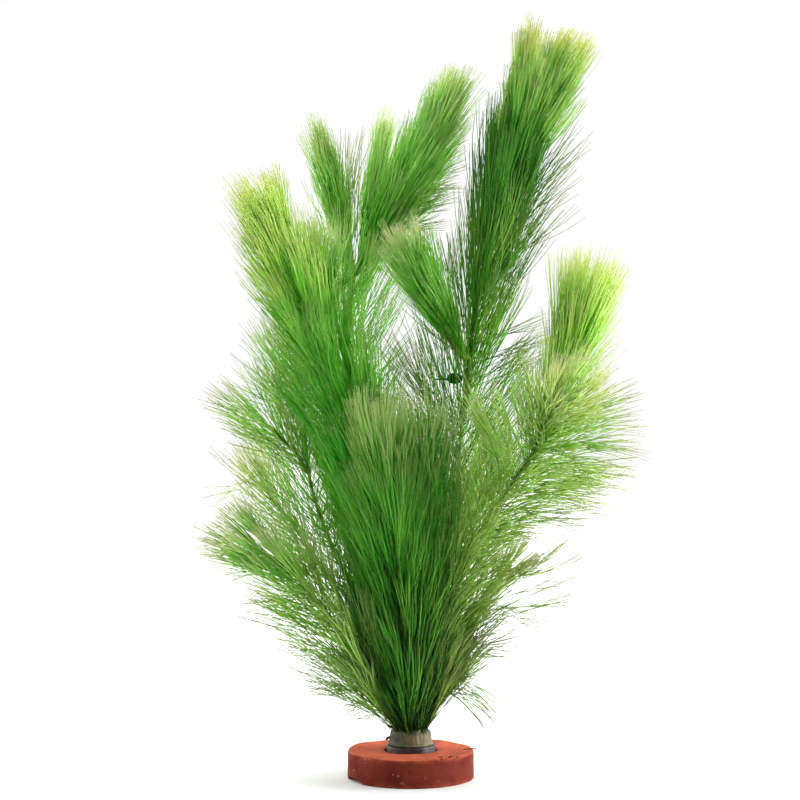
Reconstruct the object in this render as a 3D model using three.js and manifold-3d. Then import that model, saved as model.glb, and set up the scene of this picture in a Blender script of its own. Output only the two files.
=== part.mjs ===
// Potted hornwort: a bunch of hornwort shoots, wrapped in foam and standing in a terracotta ring weight.
// Millimetres, +Z up. The origin is the middle of the ring's underside.
// The front, where the centre shoots lean out, faces -Y.

import * as THREE from 'three';
import { mergeVertices } from 'three/addons/utils/BufferGeometryUtils.js';
import Module from 'manifold-3d';

const wasm = await Module();
wasm.setup();

// Clay ring
const RING_DIAMETER = 45;
const RING_HEIGHT = 10;
const HOLE_DIAMETER = 19;
const RING_TOP_ROUND = 1.6;
const RING_FOOT_ROUND = 0.9;
const HOLE_ROUND = 0.7;
const RING_SIDES = 36;
const CHIP = { bearing: 199, outside: 0.8, size: [3.2, 4.8, 1.1] };
const RIM_PITS = [
  { bearing: -66, size: 0.5 },
  { bearing: -59, size: 0.8 },
  { bearing: -53, size: 0.5 },
  { bearing: -45, size: 0.8 },
];

// Foam wrap, and the band that ties it
const FIT_GAP = 0.35;
const WRAP_TOP = 16.4;
const WRAP_WIDEST = 8.9;
const WRAP_WAIST = 7.9;
const WRAP_BEVEL = 0.9;
const WRAP_SIDES = 24;
const BAND_FOOT = 8.2;
const BAND_HEIGHT = 4.2;
const BAND_DIAMETER = 18.2;
const BAND_BEVEL = 0.3;
const BORE_SIDES = 8;
const STEM_FOOT = 2;
const FOLD = { bearing: 186, height: 15.2, size: 1.5 };

// Hornwort stems and leaves
const STEM_RADIUS = 0.95;
const TIP_RADIUS = 0.45;
const TIP_POINT = 1.5;
const COLUMNS = 12;
const NOTCH_SHARE = 0.6;
const SHORTEST_SHARE = 0.04;
const LEAF_VARIATION = 0.08;
const END_INSET = 3;
const BARE_FOOT_SHARE = 0.12;
const LEAF_CLEARANCE = 0.9;
const STEM_CLEARANCE = 2.2;
const SAMPLE_STEP = 2;
const BUNDLE_STEPS = 8;
const TUFT_SHARE = 0.6;
const FORK_SPREAD = 24;
const FORK_YIELD = 10;
const WOBBLE_RATES = [12.9898, 4.1414];
const WELD_DISTANCE = 1e-4;

const CLAY = { color: 0xb54a32, roughness: 0.85, metalness: 0 };
const FOAM = { color: 0x9a9474, roughness: 0.7, metalness: 0 };
const BAND = { color: 0x2c2226, roughness: 0.6, metalness: 0 };
const LIME = { color: 0x9cc94a, roughness: 0.6, metalness: 0 };
const GREEN = { color: 0x4f9a2e, roughness: 0.6, metalness: 0 };
const DARK = { color: 0x2f6320, roughness: 0.6, metalness: 0 };
const OLIVE = { color: 0x86a552, roughness: 0.6, metalness: 0 };

// Each shoot: the points of its stem from the cut end up, and from the lowest whorl to the top one
// the leaves' lean away from the stem in degrees and their length. The stems stand in the wrap as
// nine round the edge and three in the middle.
const edgeSeat = (index) => seat(5.35, 20 + index * 40);
const middleSeat = (index) => seat(1.95, 30 + index * 120);
const SHOOTS = [
  {
    name: 'tall_shoot',
    look: DARK,
    seat: middleSeat(0),
    route: [[5, 3, 34], [9, 5, 63], [14, 6, 88], [17, 7, 109], [18, 8, 123], [20, 8, 139], [21, 8, 150],
      [24, 8, 170], [26, 8, 180], [30, 8, 193], [33, 8, 207]],
    lean: [35, 38, 40, 40, 36, 30],
    leaf: [20, 30, 36, 39, 36, 33],
    whorls: 12,
    bud: { centre: [16.8, 6.8, 142], size: [3, 2, 2.2] },
  },
  {
    name: 'tall_shoot_left_tip',
    look: LIME,
    route: [[33, 6, 208], [33, 4, 218], [35, 2, 228], [37, 1, 243]],
    lean: [22, 16, 9],
    leaf: [31, 28, 25],
    tipOfFork: true,
    whorls: 5,
  },
  {
    name: 'tall_shoot_right_tip',
    look: LIME,
    route: [[34, 10, 209], [37, 12, 219], [41, 14, 230], [45, 15, 239], [48, 16, 245]],
    lean: [34, 26, 18],
    leaf: [34, 31, 26],
    tipOfFork: true,
    whorls: 5,
  },
  {
    name: 'tall_shoot_side_branch',
    look: DARK,
    route: [[18, 4, 150], [12, -1, 159], [7, -5, 169], [3, -7, 179], [0, -8, 186]],
    lean: [18, 20, 20],
    leaf: [24, 26, 24],
    whorls: 4,
  },
  {
    name: 'upper_left_shoot',
    look: GREEN,
    seat: middleSeat(1),
    route: [[-3, 6, 34], [-7, 12, 62], [-13, 18, 87], [-18, 22, 108], [-21, 25, 130], [-23.5, 27, 151],
      [-22, 28, 166], [-20, 28, 179]],
    lean: [35, 38, 40, 42, 42],
    leaf: [20, 28, 32, 35, 35],
    whorls: 9,
  },
  {
    name: 'upper_left_left_tip',
    look: GREEN,
    route: [[-21, 26, 182], [-24, 25, 193], [-27, 24, 204], [-29, 23, 212]],
    lean: [26, 16, 10],
    leaf: [30, 28, 25],
    tipOfFork: true,
    whorls: 4,
  },
  {
    name: 'upper_left_middle_tip',
    look: GREEN,
    route: [[-18, 31, 183], [-15, 34, 193], [-13, 36, 204], [-12, 37, 211]],
    lean: [26, 18, 12],
    leaf: [28, 28, 24],
    tipOfFork: true,
    whorls: 4,
  },
  {
    name: 'upper_left_right_tip',
    look: GREEN,
    route: [[-17, 26, 182], [-14, 26, 188], [-8, 25, 197], [-3, 24, 207], [3, 23, 218], [8, 23, 228],
      [11, 22, 235]],
    lean: [36, 32, 26, 18],
    leaf: [30, 32, 31, 26],
    tipOfFork: true,
    whorls: 6,
  },
  {
    name: 'lime_shoot',
    look: LIME,
    seat: middleSeat(2),
    route: [[-5, -5, 36], [-11, -12, 72], [-14, -15, 100], [-19, -17, 125], [-24, -18, 136],
      [-28, -20, 146], [-34, -22, 162], [-39, -23, 174], [-43, -24, 184], [-46, -25, 190], [-48, -25, 195]],
    lean: [35, 36, 34, 32, 30, 24],
    leaf: [20, 28, 31, 32, 31, 26],
    whorls: 11,
  },
  {
    name: 'lime_side_tuft',
    look: OLIVE,
    route: [[-32, -20, 160], [-30, -18, 168], [-30, -17, 176]],
    lean: [16, 12],
    leaf: [26, 24],
    whorls: 2,
  },
  {
    name: 'mid_left_shoot',
    look: GREEN,
    seat: edgeSeat(3),
    route: [[-9, 5, 38], [-21, 8, 66], [-31, 9, 89], [-36, 10, 105], [-38, 11, 123], [-39, 11, 136],
      [-41, 11, 145]],
    lean: [35, 42, 46, 44, 32],
    leaf: [22, 30, 34, 34, 30],
    whorls: 8,
  },
  {
    name: 'mid_left_branch',
    look: GREEN,
    route: [[-37.4, 8, 109], [-41, 3, 116], [-46, -1, 121], [-50, -3, 126]],
    lean: [36, 34, 28],
    leaf: [28, 30, 27],
    whorls: 3,
  },
  {
    name: 'low_left_shoot',
    look: GREEN,
    seat: edgeSeat(5),
    route: [[-12, -8, 34], [-25, -16, 54], [-35, -22, 69], [-44, -26, 79], [-51, -28, 84]],
    lean: [44, 44, 38, 22],
    leaf: [30, 32, 32, 26],
    whorls: 7,
  },
  {
    name: 'olive_left_shoot',
    look: OLIVE,
    seat: edgeSeat(4),
    route: [[-11, 2, 36], [-24, 14, 60], [-35, 22, 77], [-44, 27, 89], [-51, 30, 98], [-54, 32, 104]],
    lean: [38, 42, 38, 24],
    leaf: [27, 30, 30, 25],
    whorls: 7,
  },
  {
    name: 'right_shoot',
    look: LIME,
    seat: edgeSeat(8),
    route: [[8, -4, 36], [12, -10, 60], [18, -15, 78], [28, -19, 96], [36, -21, 108], [42, -22, 117],
      [47, -22, 125], [51, -21, 134], [54, -20, 143], [58, -19, 152], [61, -18, 161]],
    lean: [34, 42, 60, 72, 52, 32],
    leaf: [22, 27, 31, 33, 32, 28],
    whorls: 12,
  },
  {
    name: 'right_front_branch',
    look: OLIVE,
    route: [[43, -24.2, 118.6], [45, -33, 127], [48, -42, 133], [51, -50, 138]],
    lean: [50, 46, 36],
    leaf: [25, 26, 25],
    whorls: 4,
  },
  {
    name: 'centre_front_shoot',
    look: GREEN,
    seat: edgeSeat(6),
    route: [[-2, -12, 42], [-4, -23, 73], [-7, -31, 100], [-9, -36, 118], [-10, -38, 128]],
    lean: [34, 36, 30, 18],
    leaf: [24, 28, 30, 26],
    whorls: 7,
  },
  {
    name: 'centre_short_shoot',
    look: GREEN,
    seat: edgeSeat(7),
    route: [[4, -7, 43], [7, -14, 75], [6, -19, 99], [5, -22, 116]],
    lean: [34, 34, 28, 18],
    leaf: [22, 28, 28, 26],
    whorls: 7,
  },
  {
    name: 'low_right_shoot',
    look: GREEN,
    seat: edgeSeat(0),
    route: [[9, 1, 32], [16, 0, 48], [24, -1, 61], [31, 0, 71], [36, 1, 76]],
    lean: [36, 40, 38, 24],
    leaf: [22, 27, 28, 27],
    whorls: 6,
  },
  {
    name: 'back_left_shoot',
    look: GREEN,
    seat: edgeSeat(2),
    route: [[-5, 16, 43], [-13, 30, 71], [-20, 40, 94], [-24, 46, 109]],
    lean: [36, 42, 36, 20],
    leaf: [24, 30, 30, 26],
    whorls: 7,
  },
  {
    name: 'back_right_shoot',
    look: GREEN,
    seat: edgeSeat(1),
    route: [[6, 14, 44], [13, 28, 71], [20, 38, 90], [24, 44, 102]],
    lean: [36, 42, 38, 20],
    leaf: [24, 30, 30, 26],
    whorls: 6,
  },
];

function seat(radius, bearing) {
  const angle = THREE.MathUtils.degToRad(bearing);
  return [radius * Math.cos(angle), radius * Math.sin(angle)];
}

// A stem's centre line by arc length. Past its end it runs straight on, where the top leaves reach.
class Stem {
  constructor({ seat: foot, route, tipOfFork }) {
    const points = foot ? [[...foot, STEM_FOOT], [...foot, WRAP_TOP], ...route] : route;
    this.curve = new THREE.CatmullRomCurve3(points.map((p) => new THREE.Vector3(...p)), false, 'centripetal');
    this.length = this.curve.getLength();
    this.tipOfFork = tipOfFork;
    this.wrapped = foot ? WRAP_TOP - STEM_FOOT : 0;
  }

  tangent(s) {
    return this.curve.getTangentAt(THREE.MathUtils.clamp(s / this.length, 0, 1));
  }

  centre(s) {
    const past = Math.max(s - this.length, 0);
    return this.curve.getPointAt(Math.min(s / this.length, 1)).addScaledVector(this.tangent(s), past);
  }

  radius(s) {
    return THREE.MathUtils.lerp(STEM_RADIUS, TIP_RADIUS, Math.min(s / this.length, 1));
  }

  // Unit vector square to the stem, at an angle round it that starts at the front.
  outward(s, angle) {
    const along = this.tangent(s);
    const front = new THREE.Vector3(0, -1, 0).addScaledVector(along, along.y).normalize();
    const side = new THREE.Vector3().crossVectors(along, front);
    return front.multiplyScalar(Math.cos(angle)).addScaledVector(side, Math.sin(angle));
  }

  ring(s) {
    const radius = this.radius(s);
    return columnAngles().map((angle) => this.centre(s).addScaledVector(this.outward(s, angle), radius));
  }

  // Points along the stem and on past its tip, where its top leaves stand. The tips of a fork yield
  // to the crown that surrounds them, by a handicap that fades as they rise out of it.
  territory(topLeaf) {
    const count = Math.ceil((this.length + TUFT_SHARE * topLeaf) / SAMPLE_STEP);
    return Array.from({ length: count + 1 }, (_, i) => {
      const s = i * SAMPLE_STEP;
      const handicap = this.tipOfFork ? FORK_YIELD * Math.max(1 - s / FORK_SPREAD, 0) : 0;
      return { point: this.centre(s), handicap, onStem: s <= this.length };
    });
  }
}

function columnAngles() {
  return Array.from({ length: COLUMNS }, (_, k) => (k / COLUMNS) * 2 * Math.PI);
}

// Value at a share of the way along a list, straight between its entries.
function along(list, share) {
  const place = share * (list.length - 1);
  const index = Math.min(Math.floor(place), list.length - 2);
  return THREE.MathUtils.lerp(list[index], list[index + 1], place - index);
}

// Repeatable wobble between -1 and 1, so that no two leaf bundles are alike.
function wobble(seed) {
  const [rate, otherRate] = WOBBLE_RATES;
  return Math.sin(seed * rate) * Math.cos(seed * otherRate);
}

// Distance from a point to a territory, with each sample's handicap. Infinitely near if it touches the stem.
function nearness(territory, point) {
  let least = Infinity;
  for (const sample of territory) {
    const distance = sample.point.distanceTo(point);
    if (sample.onStem && distance < STEM_CLEARANCE) {
      return -Infinity;
    }
    least = Math.min(least, distance + sample.handicap);
  }
  return least;
}

// Share of a leaf bundle, from its root to its tip, that stays nearer its own stem than any other.
// Leaf crowns meet there with a small gap between them.
function clearShare(root, tip, own, others) {
  let share = 0;
  for (let step = 1; step <= BUNDLE_STEPS; step += 1) {
    const point = new THREE.Vector3().lerpVectors(root, tip, step / BUNDLE_STEPS);
    const ownDistance = Math.min(...own.map((sample) => sample.point.distanceTo(point) + sample.handicap));
    if (others.some((territory) => nearness(territory, point) < ownDistance + LEAF_CLEARANCE)) {
      return share;
    }
    share = step / BUNDLE_STEPS;
  }
  return share;
}

// Rings of a shoot from foot to tip: the bare stem, then for each whorl a ring at its root and one
// at its leaf tips, where every other column is a notch between two leaf bundles. The next whorl's
// root lies inside the crown that this makes, as the real whorls nest.
function shootRings(shoot, stem, own, others) {
  const rings = stem.wrapped ? [stem.ring(0), stem.ring(stem.wrapped)] : [stem.ring(0)];
  const first = stem.wrapped ? stem.wrapped + END_INSET : stem.length * BARE_FOOT_SHARE;
  const last = stem.length - END_INSET;
  for (let whorl = 0; whorl < shoot.whorls; whorl += 1) {
    const share = whorl / (shoot.whorls - 1);
    const root = THREE.MathUtils.lerp(first, last, share);
    const lean = THREE.MathUtils.degToRad(along(shoot.lean, share));
    const rootRing = stem.ring(root);
    const tipRing = columnAngles().map((angle, k) => {
      const seed = SHOOTS.indexOf(shoot) + whorl * COLUMNS + k;
      const length = along(shoot.leaf, share) * (1 + LEAF_VARIATION * wobble(seed));
      const height = root + length * Math.cos(lean);
      const reach = stem.radius(root) + length * Math.sin(lean);
      const tip = stem.centre(height).addScaledVector(stem.outward(height, angle), reach);
      const clear = clearShare(rootRing[k], tip, own, others);
      const bundle = (k + whorl) % 2 === 0 ? 1 : NOTCH_SHARE;
      return new THREE.Vector3().lerpVectors(rootRing[k], tip, Math.max(clear * bundle, SHORTEST_SHARE));
    });
    rings.push(rootRing, tipRing);
  }
  rings.push(stem.ring(stem.length));
  return rings;
}

// Closed skin over a stack of rings, with a flat foot and a pointed top.
function skin(rings, foot, top) {
  const vertices = [foot, ...rings.flat(), top];
  const triangles = [];
  const at = (ring, k) => 1 + ring * COLUMNS + (k % COLUMNS);
  for (let k = 0; k < COLUMNS; k += 1) {
    triangles.push(0, at(0, k + 1), at(0, k));
    for (let ring = 0; ring < rings.length - 1; ring += 1) {
      triangles.push(at(ring, k), at(ring, k + 1), at(ring + 1, k + 1));
      triangles.push(at(ring, k), at(ring + 1, k + 1), at(ring + 1, k));
    }
    triangles.push(at(rings.length - 1, k), at(rings.length - 1, k + 1), vertices.length - 1);
  }
  const geometry = new THREE.BufferGeometry().setFromPoints(vertices);
  geometry.setIndex(triangles);
  return geometry;
}

function toSolid(geometry) {
  const bare = geometry.clone();
  bare.deleteAttribute('normal');
  bare.deleteAttribute('uv');
  const merged = mergeVertices(bare, WELD_DISTANCE);
  return new wasm.Manifold(new wasm.Mesh({
    numProp: 3,
    vertProperties: new Float32Array(merged.attributes.position.array),
    triVerts: new Uint32Array(merged.index.array),
  }));
}

function toGeometry(solid) {
  const { vertProperties, triVerts } = solid.getMesh();
  const geometry = new THREE.BufferGeometry();
  geometry.setAttribute('position', new THREE.BufferAttribute(vertProperties, 3));
  geometry.setIndex(new THREE.BufferAttribute(triVerts, 1));
  return geometry;
}

function mesh(name, geometry, look) {
  const piece = new THREE.Mesh(geometry, new THREE.MeshStandardMaterial(look));
  piece.name = name;
  return piece;
}

// Turned solid: a profile of [radius, height] points about the Z axis.
function turned(profile, sides) {
  const points = profile.map(([radius, height]) => new THREE.Vector2(radius, height));
  return new THREE.LatheGeometry(points, sides).rotateX(Math.PI / 2);
}

// Quarter-round from one angle to the next, as [radius, height] points.
function corner(radius, height, round, from, steps) {
  return Array.from({ length: steps + 1 }, (_, i) => {
    const angle = THREE.MathUtils.degToRad(from + (90 * i) / steps);
    return [radius + round * Math.cos(angle), height + round * Math.sin(angle)];
  });
}

function lump(size, centre, detail) {
  return new THREE.IcosahedronGeometry(1, detail).scale(...size).translate(...centre);
}

function clayRing() {
  const outer = RING_DIAMETER / 2;
  const hole = HOLE_DIAMETER / 2;
  const profile = [
    ...corner(hole + HOLE_ROUND, HOLE_ROUND, HOLE_ROUND, 180, 1),
    ...corner(outer - RING_FOOT_ROUND, RING_FOOT_ROUND, RING_FOOT_ROUND, 270, 2),
    ...corner(outer - RING_TOP_ROUND, RING_HEIGHT - RING_TOP_ROUND, RING_TOP_ROUND, 0, 3),
    ...corner(hole + HOLE_ROUND, RING_HEIGHT - HOLE_ROUND, HOLE_ROUND, 90, 1),
  ];
  let ring = toSolid(turned([...profile, profile[0]], RING_SIDES));
  for (const { bearing, size } of RIM_PITS) {
    const [x, y] = seat(outer - size / 2, bearing);
    ring = ring.subtract(toSolid(lump([size, size, size], [x, y, RING_HEIGHT - size / 2], 0)));
  }
  const [chipX, chipY] = seat(outer + CHIP.outside, CHIP.bearing);
  const flake = lump(CHIP.size, [0, 0, 0], 1);
  flake.rotateZ(THREE.MathUtils.degToRad(CHIP.bearing)).translate(chipX, chipY, 0);
  return mesh('clay_ring', toGeometry(ring.subtract(toSolid(flake))), CLAY);
}

function foamWrap() {
  const inHole = HOLE_DIAMETER / 2 - FIT_GAP;
  const bandTop = BAND_FOOT + BAND_HEIGHT;
  const profile = [
    [0, 0],
    [inHole, 0],
    [inHole, BAND_FOOT - FIT_GAP],
    [WRAP_WAIST, BAND_FOOT - FIT_GAP],
    [WRAP_WAIST, bandTop + FIT_GAP],
    [WRAP_WIDEST, bandTop + WRAP_BEVEL],
    [WRAP_WIDEST, WRAP_TOP - WRAP_BEVEL],
    [WRAP_WIDEST - WRAP_BEVEL, WRAP_TOP],
    [0, WRAP_TOP],
  ];
  let foam = toSolid(turned(profile, WRAP_SIDES));
  const [foldX, foldY] = seat(WRAP_WIDEST, FOLD.bearing);
  foam = foam.add(toSolid(lump([FOLD.size, FOLD.size, FOLD.size], [foldX, foldY, FOLD.height], 0)));
  for (const { seat: foot } of SHOOTS.filter((shoot) => shoot.seat)) {
    const radius = STEM_RADIUS + FIT_GAP;
    const bore = new THREE.CylinderGeometry(radius, radius, WRAP_TOP, BORE_SIDES);
    bore.rotateX(Math.PI / 2).translate(...foot, STEM_FOOT - FIT_GAP + WRAP_TOP / 2);
    foam = foam.subtract(toSolid(bore));
  }
  return mesh('foam_wrap', toGeometry(foam), FOAM);
}

function darkBand() {
  const outer = BAND_DIAMETER / 2;
  const inner = WRAP_WAIST + FIT_GAP;
  const top = BAND_FOOT + BAND_HEIGHT;
  const profile = [
    [inner, BAND_FOOT],
    [outer - BAND_BEVEL, BAND_FOOT],
    [outer, BAND_FOOT + BAND_BEVEL],
    [outer, top - BAND_BEVEL],
    [outer - BAND_BEVEL, top],
    [inner, top],
    [inner, BAND_FOOT],
  ];
  return mesh('dark_band', turned(profile, WRAP_SIDES), BAND);
}

function hornwort() {
  const stems = SHOOTS.map((shoot) => new Stem(shoot));
  const territories = stems.map((stem, i) => stem.territory(SHOOTS[i].leaf.at(-1)));
  return SHOOTS.map((shoot, i) => {
    const stem = stems[i];
    const others = territories.filter((_, j) => j !== i);
    const rings = shootRings(shoot, stem, territories[i], others);
    const geometry = skin(rings, stem.centre(0), stem.centre(stem.length + TIP_POINT));
    if (!shoot.bud) {
      return mesh(shoot.name, geometry, shoot.look);
    }
    const bud = toSolid(lump(shoot.bud.size, shoot.bud.centre, 1));
    return mesh(shoot.name, toGeometry(toSolid(geometry).add(bud)), shoot.look);
  });
}

const pottedHornwort = new THREE.Group();
pottedHornwort.add(clayRing(), foamWrap(), darkBand(), ...hornwort());

export default pottedHornwort;
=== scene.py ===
import math

import bpy
import numpy as np
from bpy.props import FloatProperty, FloatVectorProperty, IntProperty, PointerProperty
from bpy.types import Operator, Panel, PropertyGroup
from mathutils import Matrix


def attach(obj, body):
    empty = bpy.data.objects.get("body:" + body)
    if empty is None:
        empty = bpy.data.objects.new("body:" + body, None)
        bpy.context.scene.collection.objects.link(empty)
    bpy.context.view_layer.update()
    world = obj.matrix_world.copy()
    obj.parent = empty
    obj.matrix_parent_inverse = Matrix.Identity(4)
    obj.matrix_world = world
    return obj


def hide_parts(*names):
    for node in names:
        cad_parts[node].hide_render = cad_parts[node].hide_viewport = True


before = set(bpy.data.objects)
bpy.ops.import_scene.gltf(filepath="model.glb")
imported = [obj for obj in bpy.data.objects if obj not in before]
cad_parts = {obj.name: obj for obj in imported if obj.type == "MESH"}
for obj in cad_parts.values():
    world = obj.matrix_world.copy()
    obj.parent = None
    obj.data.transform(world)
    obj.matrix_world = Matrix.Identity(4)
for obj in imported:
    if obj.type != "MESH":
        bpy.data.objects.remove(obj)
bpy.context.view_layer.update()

# Potted hornwort: shoots of fine forked leaves, wrapped in foam and standing in a clay ring weight.
# The tables and the surfaces made from them are in millimetres, and make_piece turns them into metres.

bl_info = {
    "name": "Potted Hornwort",
    "version": (1, 0, 0),
    "blender": (4, 5, 0),
    "location": "3D View > Sidebar > Hornwort",
    "description": "Builds a bunch of hornwort shoots wrapped in foam and standing in a clay ring weight",
    "category": "Add Mesh",
}

MM = 0.001
BODY = "root"

# The stems stand in the wrap as nine round its edge and three in its middle: radius, first bearing, step.
SEATS = {"edge": (5.35, 20.0, 40.0), "middle": (1.95, 30.0, 120.0)}
FIRST_SEED = 100
STEM_FOOT = 2.0
WRAP_TOP = 16.4

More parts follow.
